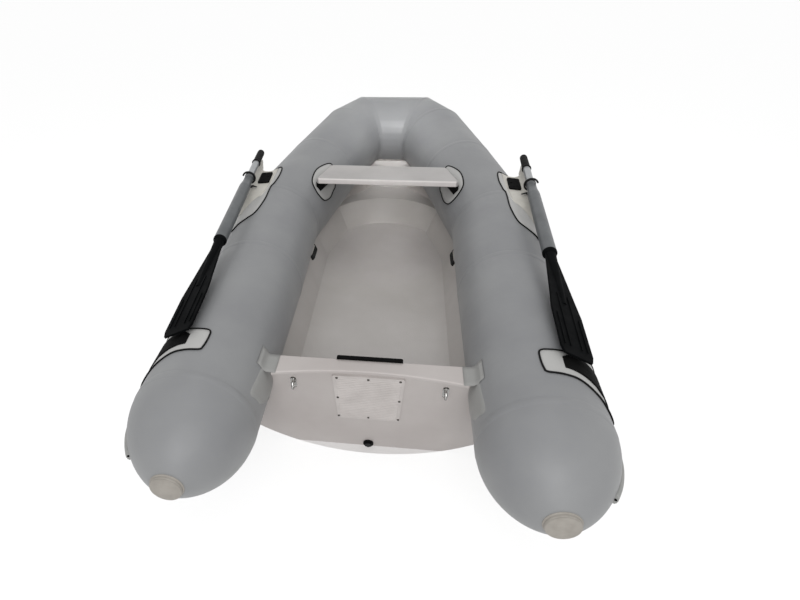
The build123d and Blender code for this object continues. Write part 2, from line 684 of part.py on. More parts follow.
# Seen from above; columns: distance outboard of the pin, y. An arc hollows out its forward end.
BASE_OUTLINE = ((8, 1500), (30, 1380), (40, 1250), (40, 1030), (22, 975), (-8, 960), (-56, 1010), (-90, 1110), (-104, 1200), (-106, 1372))
SCOOP = ((-56, 1344), (-18, 1396))
with BuildPart() as rowlock_base:
    with BuildSketch(Plane.XY.offset(base_foot.origin.Z - BASE_SKIRT)):
        with BuildLine():
            side_line = Polyline(*[(pivot.X + out, y) for out, y in BASE_OUTLINE])
            scoop_points = [(pivot.X + out, y) for out, y in SCOOP]
            ThreePointArc(side_line @ 1, scoop_points[0], scoop_points[1])
            Line(scoop_points[1], side_line @ 0)
        make_face()
    extrude(amount=3 * BASE_SKIRT)
    for cutting, away in ((base_top, 1), (base_tail, 1), (base_foot, -1)):
        with BuildSketch(cutting):
            Rectangle(4 * TUBE_X, 4 * TUBE_X)
        extrude(amount=away * 3 * BASE_SKIRT, mode=Mode.SUBTRACT)
    fillet(rowlock_base.faces().sort_by(Axis.Z)[-1].edges(), radius=BASE_SOFTENING)
    add(all_tubes, mode=Mode.SUBTRACT)
    add(rowlock_pad, mode=Mode.SUBTRACT)
    add(strake, mode=Mode.SUBTRACT)
    with Locations((pivot.X, pivot.Y, pivot.Z - BASE_DROP)):
        Cylinder(radius=ROWLOCK_PIN_RADIUS + ROWLOCK_PIN_CLEARANCE, height=2 * BASE_SKIRT, mode=Mode.SUBTRACT)
save_pair("rowlock_base", rowlock_base.part)

with BuildPart() as rowlock_insert:
    with BuildSketch(base_top):
        with Locations(INSERT_MIDDLE):
            RectangleRounded(INSERT_SIZE[0], INSERT_SIZE[1], INSERT_SIZE[2])
        with Locations((INSERT_MIDDLE[0] - INSERT_SIZE[0] / 4, INSERT_MIDDLE[1])):
            Circle(INSERT_HOLE, mode=Mode.SUBTRACT)
    extrude(amount=INSERT_SIZE[2])
save_pair("rowlock_insert", rowlock_insert.part)

ring_up = Vector(0, 0, 1) - oar_axis * oar_axis.Z
ring_up = ring_up.normalized()
ring_centre = pivot + ring_up * (ROWLOCK_RING - ROWLOCK_WIRE - OAR_COLLAR_RADIUS - WIRE_FIT)
ring_foot = ring_centre - ring_up * ROWLOCK_RING
with BuildPart() as rowlock:
    with BuildSketch(Plane(origin=ring_foot, x_dir=ring_up, z_dir=ring_up.cross(oar_axis))):
        Circle(ROWLOCK_WIRE)
    revolve(axis=Axis(ring_centre, oar_axis), revolution_arc=360 - ROWLOCK_MOUTH)
    with BuildSketch(Plane.XY.offset(pivot.Z - BASE_DROP - PIN_DEPTH)):
        with Locations((pivot.X, pivot.Y)):
            Circle(ROWLOCK_PIN_RADIUS)
    extrude(amount=ring_foot.Z - (pivot.Z - BASE_DROP - PIN_DEPTH))
save_pair("rowlock", rowlock.part)

# ---------------------------------------------------------------- oar
def along_oar(y):
    """Distance along the oar's axis from the pivot to the station y, positive forward."""
    return (y - pivot.Y) / oar_axis.Y


def oar_plane(distance):
    """Section plane across the oar, local x to starboard and facing the grip."""
    return Plane(origin=pivot + oar_axis * distance, x_dir=Vector(oar_axis.Y, -oar_axis.X, 0), z_dir=oar_axis)


grip_end = along_oar(OAR_GRIP_Y)
blade_end = along_oar(OAR_END_Y)
blade_start = blade_end + BLADE_LENGTH
sleeve_end = 12.0

with BuildPart() as oar_grip:
    with BuildSketch(oar_plane(grip_end - OAR_GRIP_LENGTH)):
        Circle(OAR_GRIP_RADIUS)
    with BuildSketch(oar_plane(grip_end)):
        Circle(OAR_GRIP_RADIUS * 0.85)
    loft()
    fillet(oar_grip.faces().sort_by(Axis.Y)[-1].edges(), radius=8)
save_pair("oar_grip", oar_grip.part)

with BuildPart() as oar_shaft:
    with BuildSketch(oar_plane(sleeve_end)):
        Circle(OAR_SHAFT_RADIUS)
    extrude(amount=grip_end - OAR_GRIP_LENGTH - sleeve_end)
save_pair("oar_shaft", oar_shaft.part)

with BuildPart() as oar_sleeve:
    with BuildSketch(oar_plane(blade_start)):
        Circle(OAR_SLEEVE_RADIUS)
    extrude(amount=-2 * OAR_COLLAR_LENGTH - blade_start)
    with BuildSketch(oar_plane(-2 * OAR_COLLAR_LENGTH)):
        Circle(OAR_SLEEVE_RADIUS)
    with BuildSketch(oar_plane(-OAR_COLLAR_LENGTH)):
        Circle(OAR_COLLAR_RADIUS)
    loft()
    with BuildSketch(oar_plane(-OAR_COLLAR_LENGTH)):
        Circle(OAR_COLLAR_RADIUS)
    extrude(amount=OAR_COLLAR_LENGTH + sleeve_end)
save_pair("oar_sleeve", oar_sleeve.part)

# Half width of the blade from its neck to its tip; columns: share of the length, share of the half width
BLADE_OUTLINE = ((0.0, 0.36), (0.12, 0.48), (0.46, 0.82), (0.63, 1.0), (0.95, 1.0), (1.0, 0.86))
blade_middle = pivot + oar_axis * (blade_end + BLADE_LENGTH / 2)
off_tube = Vector(blade_middle.X - TUBE_X, 0, blade_middle.Z - TUBE_Z)
blade_out = (off_tube - oar_axis * off_tube.dot(oar_axis)).normalized()
blade_plane = Plane(origin=oar_plane(blade_start).origin, x_dir=-oar_axis, z_dir=blade_out)
with BuildPart() as oar_blade:
    with BuildSketch(blade_plane.offset(-BLADE_THICKNESS / 2)):
        with BuildLine():
            upper = [(share * BLADE_LENGTH, half * BLADE_WIDTH / 2) for share, half in BLADE_OUTLINE]
            Polyline(*upper, *[(along, -half) for along, half in upper[::-1]], close=True)
        make_face()
    extrude(amount=BLADE_THICKNESS)
    with BuildSketch(blade_plane.offset(BLADE_THICKNESS / 2)):
        for number in (-2, -1, 1, 2):
            start = 0.46 if abs(number) == 1 else 0.66
            with Locations((0.5 * (start + 0.93) * BLADE_LENGTH, number * BLADE_RIB_PITCH * 0.9)):
                SlotOverall((0.93 - start) * BLADE_LENGTH, BLADE_RIB[0])
    extrude(amount=BLADE_RIB[1])
    with BuildSketch(oar_plane(blade_start)):
        Circle(OAR_COLLAR_RADIUS)
    with BuildSketch(oar_plane(blade_start - 0.55 * BLADE_LENGTH)):
        Circle(BLADE_SPINE_RADIUS)
    loft()
save_pair("oar_blade", oar_blade.part)
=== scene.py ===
import json
import math
import bpy
import numpy as np
from mathutils import Matrix, Vector


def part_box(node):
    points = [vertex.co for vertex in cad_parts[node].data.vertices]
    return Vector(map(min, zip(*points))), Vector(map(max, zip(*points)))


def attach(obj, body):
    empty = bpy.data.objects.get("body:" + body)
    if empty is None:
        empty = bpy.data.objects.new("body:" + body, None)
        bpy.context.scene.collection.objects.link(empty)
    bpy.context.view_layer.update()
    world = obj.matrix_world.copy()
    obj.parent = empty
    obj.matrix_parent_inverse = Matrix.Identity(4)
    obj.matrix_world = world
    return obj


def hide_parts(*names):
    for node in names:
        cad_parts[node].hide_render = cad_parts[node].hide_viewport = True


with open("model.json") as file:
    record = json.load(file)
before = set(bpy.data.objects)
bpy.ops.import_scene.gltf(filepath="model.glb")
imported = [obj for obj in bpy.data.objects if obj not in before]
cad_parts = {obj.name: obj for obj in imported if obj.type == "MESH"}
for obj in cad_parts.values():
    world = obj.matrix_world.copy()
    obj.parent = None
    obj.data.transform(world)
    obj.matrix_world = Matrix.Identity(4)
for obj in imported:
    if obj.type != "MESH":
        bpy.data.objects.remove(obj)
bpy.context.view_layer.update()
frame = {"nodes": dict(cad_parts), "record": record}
scene = bpy.context.scene


# ------------------------ hull
# Closed V bottom of glass-fibre laminate, taken out of a polished mould with its gelcoat outermost.
# The tubes are glued into its rails and the deck liner is bonded inside it.
def linear(hex_colour):
    """sRGB hex to linear RGBA: a channel c is ((c + 0.055) / 1.055) ** 2.4, or c / 12.92 when dark."""
    c = np.array([int(hex_colour[i:i + 2], 16) for i in (1, 3, 5)]) / 255.0
    c = np.where(c <= 0.04045, c / 12.92, ((c + 0.055) / 1.055) ** 2.4)
    return (*c.tolist(), 1.0)


def add_node(owner, kind, inputs=None, **settings):
    """Add one shader node: settings are its properties; inputs are socket values or (node, output) links."""
    tree = owner.node_tree
    node = tree.nodes.new("ShaderNode" + kind)
    for key, value in settings.items():
        setattr(node, key, value)
    for socket, value in (inputs or {}).items():
        if isinstance(value, tuple) and isinstance(value[0], bpy.types.Node):
            tree.links.new(value[0].outputs[value[1]], node.inputs[socket])
        else:
            node.inputs[socket].default_value = value
    return node


def new_material(name):
    """Empty node material, and the place of each point in the object's own metres."""
    material = bpy.data.materials.new(name)
    material.use_nodes = True
    material.node_tree.nodes.clear()
    return material, (add_node(material, "TexCoord"), "Object")


def close_material(material, colour, roughness, relief, depth, **surface):
    """Principled surface from a colour, a roughness and a relief from 0 to 1 times its depth in metres.
    Its other values, such as IOR, go on the sockets of the same names."""
    bump = add_node(material, "Bump", {"Height": relief, "Distance": depth, "Strength": 1.0})
    values = {name.replace("_", " "): value for name, value in surface.items()}
    shader = add_node(material, "BsdfPrincipled",
                      {"Base Color": colour, "Roughness": roughness, "Normal": (bump, "Normal"), **values})
    add_node(material, "OutputMaterial", {"Surface": (shader, "BSDF")})
    return material


def tones(material, place, patch, dark, light):
    """Colour that wanders between two tones over patches of about the given size in metres."""
    patches = add_node(material, "TexNoise",
                       {"Vector": place, "Scale": 1 / patch, "Detail": 4.0, "Roughness": 0.55})
    share = add_node(material, "MapRange", {"Value": (patches, "Fac"), "From Min": 0.35, "From Max": 0.65})
    colours = {0: (share, "Result"), 6: linear(dark), 7: linear(light)}
    return add_node(material, "Mix", colours, data_type="RGBA"), 2


def wandering(material, place, patch, low, high, detail=6.0):
    """Value that wanders from low to high over patches of about the given size in metres."""
    patches = add_node(material, "TexNoise", {"Vector": place, "Scale": 1 / patch, "Detail": detail})
    ends = {"From Min": 0.3, "From Max": 0.7, "To Min": low, "To Max": high}
    return add_node(material, "MapRange", {"Value": (patches, "Fac"), **ends}), "Result"


def gelcoat(name, dark, light, roughness):
    """Polyester gelcoat off a polished mould: an even, slightly yellowed tone under a clear gloss, hand
    marks 50 mm across that dull it in patches, and faint orange peel, drawn 9 mm wide so that it shows."""
    material, place = new_material(name)
    gloss = wandering(material, place, 0.05, roughness - 0.06, roughness + 0.08)
    peel = add_node(material, "TexNoise", {"Vector": place, "Scale": 1 / 0.009})
    return close_material(material, tones(material, place, 0.35, dark, light), gloss, (peel, "Fac"), 0.00012,
                          IOR=1.5, Coat_Weight=0.2, Coat_Roughness=0.15)


SIDES = ("starboard", "port")


def dress(material, *nodes):
    """Give CAD nodes their finish. In a node's name, {} stands for each side in turn."""
    for node in sorted({node.format(side) for node in nodes for side in SIDES}):
        mesh = frame["nodes"][node].data
        mesh.materials.clear()
        mesh.materials.append(material)


dress(gelcoat("hull_gelcoat_moulded", "#b5afab", "#c0bab6", 0.30), "hull")


# ------------------------ deck liner
# One moulding of the same laminate: the deck, the cockpit's leaning sides and the low bow step.
# The flat parts came out of a pebbled mould as a foothold, the sides out of a smooth one.
def foothold_gelcoat(name, dark, light):
    """Gelcoat with a pebbled foothold on what faces up: a matt tone, and pebbles 5 mm apart that give a
    dull shimmer. Real pebbles are 2 mm and would not show."""
    material, place = new_material(name)
    pebbles = add_node(material, "TexVoronoi", {"Vector": place, "Scale": 1 / 0.005}, feature="F1")
    facing = add_node(material, "NewGeometry")
    upward = add_node(material, "SeparateXYZ", {0: (facing, "Normal")})
    flat = add_node(material, "MapRange", {"Value": (upward, "Z"), "From Min": 0.96, "From Max": 0.99})
    relief = add_node(material, "Math", {0: (pebbles, "Distance"), 1: (flat, "Result")},
                      operation="MULTIPLY")
    dull = wandering(material, place, 0.12, 0.42, 0.56)
    return close_material(material, tones(material, place, 0.45, dark, light), dull, (relief, "Value"),
                          0.0005, IOR=1.5)


def unit(v):
    """Vectors divided by their own length."""
    return v / np.linalg.norm(v, axis=-1, keepdims=True)


def run_lengths(net, axis):
    """Metres run along one direction of a net, averaged over the other, from 0."""
    steps = np.linalg.norm(np.diff(net, axis=axis), axis=-1).mean(axis=1 - axis)
    return np.concatenate([[0.0], np.cumsum(steps)])


def net_piece(name, net, material, wrap=True, lids=(), smooth=True):
    """Mesh of a net of rows by columns: each cell is one face that looks along (row step) x (column step).

    Its UV map is in metres, columns along u and rows along v. A lid is one flat face over row 0 or row -1."""
    rows, columns = net.shape[:2]
    index = np.arange(rows * columns).reshape(rows, columns)
    net_round = net
    if wrap:
        index = np.concatenate([index, index[:, :1]], axis=1)
        net_round = np.concatenate([net, net[:, :1]], axis=1)
    u, v = np.meshgrid(run_lengths(net_round, 1), run_lengths(net_round, 0))
    uv = np.stack([u, v], axis=-1)
    here, ahead = slice(None, -1), slice(1, None)
    corners = [(here, here), (ahead, here), (ahead, ahead), (here, ahead)]
    cells = np.stack([index[corner] for corner in corners], axis=-1).reshape(-1, 4)
    cell_uv = np.stack([uv[corner] for corner in corners], axis=2).reshape(-1, 2)
    closed = [index[row, :columns][::-1 if row else 1].tolist() for row in lids]
    mesh = bpy.data.meshes.new(name)
    mesh.from_pydata(net.reshape(-1, 3).tolist(), [], cells.tolist() + closed)
    mesh.polygons.foreach_set("use_smooth", [smooth] * len(cells) + [False] * len(closed))
    lid_uv = np.zeros((columns * len(closed), 2))
    mesh.uv_layers.new(name="metres").data.foreach_set("uv", np.concatenate([cell_uv, lid_uv]).ravel())
    mesh.materials.append(material)
    piece = bpy.data.objects.new(name, mesh)
    scene.collection.objects.link(piece)
    return piece


def fit(piece, stands_for=(), body="boat"):
    """Fasten a piece to its body, and hide the CAD nodes it stands for."""
    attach(piece, body)
    if stands_for:
        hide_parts(*stands_for)


def other_side(net):
    """The same net on the port side, its columns turned round so that the faces still look outward."""
    return net[:, ::-1] * (-1, 1, 1)


def fit_pair(name, net, material, slot, node=None, body="boat", **form):
    """Fit a starboard net and its mirror image. In a CAD node's or a body's name, {} is the side."""
    for side, side_net in zip(SIDES, (net, other_side(net))):
        stands_for = [node.format(side)] if node else []
        fit(net_piece(f"{name}_{side}", side_net, material, **form), stands_for, body.format(side))


def to_points(x, y, z):
    """Points with these coordinates, each spread over the shape that the three have together."""
    return np.stack(np.broadcast_arrays(x, y, z), axis=-1)


deck_gelcoat = foothold_gelcoat("deck_gelcoat_pebbled", "#b6b2ae", "#c2bebb")
dress(deck_gelcoat, "deck_liner")
# The solid liner is open in its sides abreast of the step, so this skin makes the wall that the real one has.
DECK_UNDERSIDE = 0.150
LINER_LEAN = math.radians(25)
LINER_SHOULDERS = np.array([(0.330, 1.330), (0.205, 1.790)])  # outside of the liner at the deck: x, y
WALL_FROM, WALL_TO = 1.36, 1.72
WALL_ROWS = 10
# columns: inset, height
WALL_CORNERS = np.array([(0.0015, 0.335), (0.0055, 0.335), (0.0055, DECK_UNDERSIDE),
                         (0.0015, DECK_UNDERSIDE)])
shoulder_step = LINER_SHOULDERS[1] - LINER_SHOULDERS[0]
closing = shoulder_step[0] / shoulder_step[1]
across_share = math.hypot(1.0, closing)
wall_inset, wall_height = WALL_CORNERS.T
wall_y = np.linspace(WALL_FROM, WALL_TO, WALL_ROWS)[:, None]
wall_lean = (wall_height - DECK_UNDERSIDE) * math.tan(LINER_LEAN) - wall_inset
wall_x = LINER_SHOULDERS[0, 0] + closing * (wall_y - LINER_SHOULDERS[0, 1]) + across_share * wall_lean
wall_net = to_points(wall_x, wall_y, wall_height)
fit_pair("liner_wall", wall_net, deck_gelcoat, "deck_gelcoat", lids=(0, -1), smooth=False)

# ------------------------ transom
# Raked plywood board sheathed in laminate, with a moulded capping that curves aft at its ends.
# It is glassed to the hull and stands between the tubes.
dress(gelcoat("transom_gelcoat_moulded", "#b1aaa7", "#bcb6b3", 0.34), "transom", "transom_capping")


# ------------------------ motor plate
# Ribbed plastic plate that spreads the outboard bracket's load, held by eight pan-head screws. A black
# rubber pad over the board's front edge takes the clamp screws.
def turned(profile, base, axis, around=32):
    """Lathe: base + h axis + r (cos a e1 + sin a e2), for a profile of (r, h) and the angle a going round."""
    ASKEW = (0.31, 0.87, 0.39)  # no lathe here has its axis along this
    axis = unit(np.array(axis, float))
    e1 = unit(np.cross(axis, ASKEW))
    e2 = np.cross(e1, axis)
    a = np.linspace(0, 2 * np.pi, around, endpoint=False)
    ring = np.cos(a)[:, None] * e1 + np.sin(a)[:, None] * e2
    profile = np.array(profile, float)
    return np.array(base) + profile[:, 1, None, None] * axis + profile[:, 0, None, None] * ring


def moulded_plastic(name, dark, light, roughness, shine=0.5):
    """Injection-moulded plastic: one even tone, and a spark-eroded texture, drawn 3 mm wide, that breaks
    its highlights into a soft sheen."""
    material, place = new_material(name)
    gloss = wandering(material, place, 0.03, roughness - 0.05, roughness + 0.07, detail=5.0)
    texture = add_node(material, "TexNoise", {"Vector": place, "Scale": 1 / 0.003})
    return close_material(material, tones(material, place, 0.08, dark, light), gloss, (texture, "Fac"),
                          0.00008, IOR=1.49, Specular_IOR_Level=shine)


def moulded_rubber(name, dark, light, roughness, shine=0.3):
    """Cured rubber: matt, with a bloom in cloudy patches and a skin of fine dimples, drawn 4 mm wide."""
    material, place = new_material(name)
    bloom = wandering(material, place, 0.02, roughness - 0.08, roughness + 0.1)
    dimples = add_node(material, "TexNoise", {"Vector": place, "Scale": 1 / 0.004})
    return close_material(material, tones(material, place, 0.03, dark, light), bloom, (dimples, "Fac"),
                          0.00015, IOR=1.52, Specular_IOR_Level=shine)


RAKE = math.radians(10)  # the board leans with its foot forward
BOARD_TOP = 0.472
board_up = np.array([0.0, -math.sin(RAKE), math.cos(RAKE)])
board_aft = np.array([0.0, -math.cos(RAKE), -math.sin(RAKE)])


def on_board(x, height, aft=0.0):
    """Points of the board's rear face at a height: down its slope from the top edge, and aft of the face."""
    along = (height - BOARD_TOP) / math.cos(RAKE)
    return to_points(x, 0.0, BOARD_TOP) + np.multiply.outer(along, board_up) + aft * board_aft


PLATE_TOP, PLATE_BOTTOM = 0.448, 0.194
PLATE_TOP_HALF, PLATE_BOTTOM_HALF = 0.128, 0.116
PLATE_THICKNESS = 0.006
RIB_PITCH = 0.0102
RIB_HEIGHT = 0.0020
RIB_SINK = 0.0002
RIB_MARGIN = 0.012
RIB_ROWS = 273
plate_plastic = moulded_plastic("plate_plastic_ribbed", "#bcb6b3", "#c7c1be", 0.42)
dress(plate_plastic, "motor_plate")
level = np.linspace(PLATE_TOP - RIB_MARGIN, PLATE_BOTTOM + RIB_MARGIN, RIB_ROWS)
half = np.interp(level, (PLATE_BOTTOM, PLATE_TOP), (PLATE_BOTTOM_HALF, PLATE_TOP_HALF)) - RIB_MARGIN
ridge = RIB_HEIGHT * (0.5 - 0.5 * np.cos(2 * np.pi * (level[0] - level) / RIB_PITCH)) - RIB_SINK
rib_columns = np.array([-1.0, -0.5, 0.0, 0.5, 1.0])
rib_lift = (PLATE_THICKNESS + ridge)[:, None, None] * board_aft
rib_net = on_board(half[:, None] * rib_columns, level[:, None]) + rib_lift
fit(net_piece("plate_ribs", rib_net[::-1], plate_plastic, wrap=False))

# Bar bent cold and buffed: near mirror, with fine buffing lines that smear its highlights. Its colour is a
# painted reflection: a pale sky tone where the bar faces the camera, near black at its edges, for the dark
# things round a boat.
stainless, place = new_material("stainless_steel_painted_reflection")
buffing = wandering(stainless, place, 0.002, 0.12, 0.24, detail=3.0)
scratches = add_node(stainless, "TexNoise", {"Vector": place, "Scale": 1 / 0.004})
# Painted reflection: the colour runs from a pale sky tone facing the camera to near black at the edges.
facing = add_node(stainless, "LayerWeight", {"Blend": 0.5})
painted_reflection_tones = {0: (facing, "Facing"), 6: linear("#dcdbd9"), 7: linear("#1f1c1a")}
mirrored = add_node(stainless, "Mix", painted_reflection_tones, data_type="RGBA")
close_material(stainless, (mirrored, 2), buffing, (scratches, "Fac"), 0.00003, Metallic=1.0)

# The same steel left dull on small screws, with a tea-coloured film in the recesses.
dulled_steel, place = new_material("stainless_steel_weathered")
film = wandering(dulled_steel, place, 0.003, 0.3, 0.5, detail=5.0)
pits = add_node(dulled_steel, "TexNoise", {"Vector": place, "Scale": 1 / 0.003})
close_material(dulled_steel, tones(dulled_steel, place, 0.004, "#3a3734", "#5c5955"), film, (pits, "Fac"),
               0.00005, Metallic=1.0)

SCREW_COLUMN = 0.112
SCREW_ROWS = (0.436, 0.322, 0.206)
# columns: radius, above the plate
SCREW_PROFILE = [(0.0048, -0.001), (0.0048, 0.00078), (0.00408, 0.00195), (0.0024, 0.0026),
                 (0.001728, 0.0026), (0.001248, 0.0004), (0.000096, 0.0004)]
screw_places = [(column * SCREW_COLUMN, row) for row in SCREW_ROWS for column in (-1, 0, 1)
                if (column, row) != (0, SCREW_ROWS[1])]
for number, (x, height) in enumerate(screw_places, start=1):
    screw = turned(SCREW_PROFILE, on_board(x, height, PLATE_THICKNESS), board_aft, around=18)
    fit(net_piece(f"plate_screw_{number}", screw, dulled_steel, lids=(-1,)))

black_rubber = moulded_rubber("black_rubber_moulded", "#0b0b0b", "#121212", 0.68, shine=0.03)
dress(black_rubber, "motor_pad")

# ------------------------ towing eyes and drain plug
# Two bent stainless U-bolts through the board, each on an oval backing plate with its nuts inside.
# The drain's black plug screws into a flanged bush low on the centreline.
dress(stainless, "u_bolt_{}", "tow_eye")
bolt_x, _, bolt_height = np.mean(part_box("u_bolt_starboard"), axis=0)
BACKING_HALF_WIDTH, BACKING_HALF_HEIGHT = 0.011, 0.030
BACKING_STRAIGHTNESS = 4.0  # how squarely the oval's two straight sides are drawn
# columns: share of the oval's size, aft of the board
BACKING_PROFILE = [(1.0, -0.0005), (1.0, 0.0014), (0.94, 0.002), (0.02, 0.002)]
b = np.linspace(0, 2 * np.pi, 48, endpoint=False)
oval_ends = (BACKING_HALF_HEIGHT - BACKING_HALF_WIDTH) * np.tanh(BACKING_STRAIGHTNESS * np.sin(b))
oval = np.stack([BACKING_HALF_WIDTH * np.cos(b), oval_ends + BACKING_HALF_WIDTH * np.sin(b)], axis=-1)
oval = oval[:, :1] * (1, 0, 0) + oval[:, 1:] * board_up
backing = np.stack([on_board(bolt_x, bolt_height, lift) + share * oval for share, lift in BACKING_PROFILE])
fit_pair("bolt_plate", backing[:, ::-1], dulled_steel, "stainless", lids=(-1,))

black_plastic = moulded_plastic("black_plastic_moulded", "#0e0e0f", "#151516", 0.45, shine=0.15)
dress(black_plastic, "drain_plug")
plug_height = np.mean(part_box("drain_plug"), axis=0)[2]
BUSH_STAND = 0.0045
# columns: radius, aft of the bush's face
BUSH_RIM = [(0.0205, -0.001), (0.0205, 0.002), (0.019, 0.0035), (0.0165, 0.0035), (0.0155, 0.0015)]
bush = turned(BUSH_RIM, on_board(0.0, plug_height, BUSH_STAND), board_aft, around=48)
fit(net_piece("drain_bush_rim", bush, black_rubber))


# ------------------------ buoyancy tubes
# Two side chambers and a raised bow chamber of PVC-coated polyester, glued up from straight panels
# that meet at mitred seams, each seam covered by a thin tape of the same cloth.
def coated_fabric(name, dark, light, roughness):
    """PVC-coated polyester: satin, cloudy where it has been handled, with the base cloth's threads showing
    through as a faint cross ripple. The threads are 1 mm apart and are drawn 5 mm apart."""
    material, place = new_material(name)
    cloth = (add_node(material, "UVMap", uv_map="metres"), "UV")
    thread_scale = 2 * math.pi / (20 * 0.005)  # a wave node of scale s repeats every 2 pi / (20 s) metres
    warp = add_node(material, "TexWave", {"Vector": cloth, "Scale": thread_scale}, bands_direction="X")
    weft = add_node(material, "TexWave", {"Vector": cloth, "Scale": thread_scale}, bands_direction="Y")
    threads = add_node(material, "Math", {0: (warp, "Fac"), 1: (weft, "Fac")}, operation="ADD")
    slack = add_node(material, "TexNoise", {"Vector": place, "Scale": 1 / 0.09, "Detail": 3.0})
    relief = add_node(material, "Math", {0: (threads, "Value"), 1: 0.02, 2: (slack, "Fac")},
                      operation="MULTIPLY_ADD")
    handled = wandering(material, place, 0.16, roughness - 0.07, roughness + 0.09)
    return close_material(material, tones(material, place, 0.4, dark, light), handled, (relief, "Value"),
                          0.0016, IOR=1.5, Sheen_Weight=0.08, Sheen_Roughness=0.5)


TUBE_RADIUS = 0.210
TUBE_X, TUBE_Z = 0.560, 0.400
CONE_START, CONE_END = -0.215, -0.475
CONE_TIP_RADIUS = 0.054
# columns: inset from TUBE_X, y, rise above TUBE_Z
BOW_CORNERS = np.array([(0.0, 0.650, 0.0), (0.0, 1.193, 0.038), (0.152, 1.738, 0.107),
                        (0.292, 2.150, 0.172), (0.390, 2.276, 0.193)])
RING = 160  # points round the tube
ring_angle = np.linspace(0, 2 * np.pi, RING, endpoint=False)
circle = np.column_stack([np.cos(ring_angle), np.sin(ring_angle)])
side_line = to_points(TUBE_X - BOW_CORNERS[:, 0], BOW_CORNERS[:, 1], TUBE_Z + BOW_CORNERS[:, 2])
side_line = np.vstack([(TUBE_X, CONE_START, TUBE_Z), side_line])
whole_line = np.vstack([side_line, side_line[::-1] * (-1, 1, 1)])


def run_frames(line):
    """Direction d of each straight run of a line of corners, its cross axes e1 and e2, and the mitre normals.

    A mitre normal is the sum of the two directions that meet, made a unit; e1 and e2 start as outboard
    and up, and are mirrored in each mitre plane: e' = e - 2 (e . m) m."""
    d = unit(np.diff(line, axis=0))
    m = unit(np.vstack([d[:1], d[1:] + d[:-1], d[-1:]]))
    e = np.array([(1.0, 0.0, 0.0), (0.0, 0.0, 1.0)])
    axes = []
    for run in range(len(d)):
        if run:
            e = e - 2 * (e @ m[run])[:, None] * m[run]
        axes.append(e)
    return d, np.array(axes), m


run_d, run_e, mitre_m = run_frames(whole_line)


def carried(section, outward, stations):
    """Section points carried along the tube line.

    A station is (run, share, metres, lift). Its point is corner + s1 e1 + s2 e2 + d t, where s is the
    section point plus lift times its outward direction, and t = t0 + share (t1 - t0) + metres, with
    t0 and t1 where that line crosses the mitre planes at the run's two ends."""
    run = stations[:, 0].astype(int)
    share, metres, lift = (stations[:, k][:, None] for k in (1, 2, 3))
    s = section[None] + lift[..., None] * outward[None]
    across = np.einsum("rck,rkx->rcx", s, run_e[run])
    start, end = whole_line[run][:, None], whole_line[run + 1][:, None]
    d, m0, m1 = (v[:, None] for v in (run_d[run], mitre_m[run], mitre_m[run + 1]))
    t0 = -(across * m0).sum(-1) / (d * m0).sum(-1)
    t1 = ((end - start - across) * m1).sum(-1) / (d * m1).sum(-1)
    t = t0 + share * (t1 - t0) + metres
    return start + across + d * t[..., None]


PUCKER_HEIGHT = 0.0005  # on the inner side of a mitre
PUCKER_REACH = 0.07
PUCKERS_ROUND = 34


def tube_net(first_run, last_run, rows):
    """Tube skin: rows bunch towards each mitre as 0.5 - 0.5 cos(pi u), and pucker on the side it closes.

    The pucker is height times cos(k angle) times exp(-distance from the mitre / reach) times how squarely
    the skin faces the inside of the bend."""
    parts = []
    bunched = 0.5 - 0.5 * np.cos(np.pi * np.linspace(0, 1, rows))
    for run in range(first_run, last_run + 1):
        share = bunched[1:] if run > first_run else bunched
        stations = np.column_stack([np.full(share.size, run), share, 0 * share, 0 * share])
        net = carried(TUBE_RADIUS * circle, circle, stations)
        normal = circle @ run_e[run]
        for corner in (run, run + 1):
            if 0 < corner < len(run_d):
                inside = np.clip(normal @ unit(run_d[corner] - run_d[corner - 1]), 0, 1)
                away = np.abs((net - whole_line[corner]) @ mitre_m[corner])
                pucker = PUCKER_HEIGHT * inside * np.cos(PUCKERS_ROUND * ring_angle)
                net = net + (pucker * np.exp(-away / PUCKER_REACH))[..., None] * normal
        parts.append(net)
    return np.concatenate(parts)


tube_fabric = coated_fabric("tube_fabric_coated", "#828385", "#8c8d8e", 0.46)
CONE_ROWS = 40
cone_sag = TUBE_RADIUS - CONE_TIP_RADIUS
cone_length = CONE_START - CONE_END
cone_bow = (cone_length ** 2 + cone_sag ** 2) / (2 * cone_sag)  # radius of the ogive's arc
cone_turn = np.linspace(np.arcsin(cone_length / cone_bow), 0, CONE_ROWS)[:, None]
cone_radius = TUBE_RADIUS - cone_bow * (1 - np.cos(cone_turn))
cone_net = to_points(TUBE_X + cone_radius * circle[:, 0], CONE_START - cone_bow * np.sin(cone_turn),
                     TUBE_Z + cone_radius * circle[:, 1])
side_net = np.concatenate([cone_net[:-1], tube_net(first_run=0, last_run=1, rows=30)])
fit_pair("side_skin", side_net, tube_fabric, "tube_fabric", node="side_tube_{}", lids=(0,))
bow_net = tube_net(first_run=2, last_run=8, rows=26)
fit(net_piece("bow_skin", bow_net, tube_fabric), ["bow_tube"])

TAPE_HALF_WIDTH = 0.016
TAPE_THICKNESS = 0.0005
TAPE_EDGE = 0.0025
TAPE_SINK = 0.0006
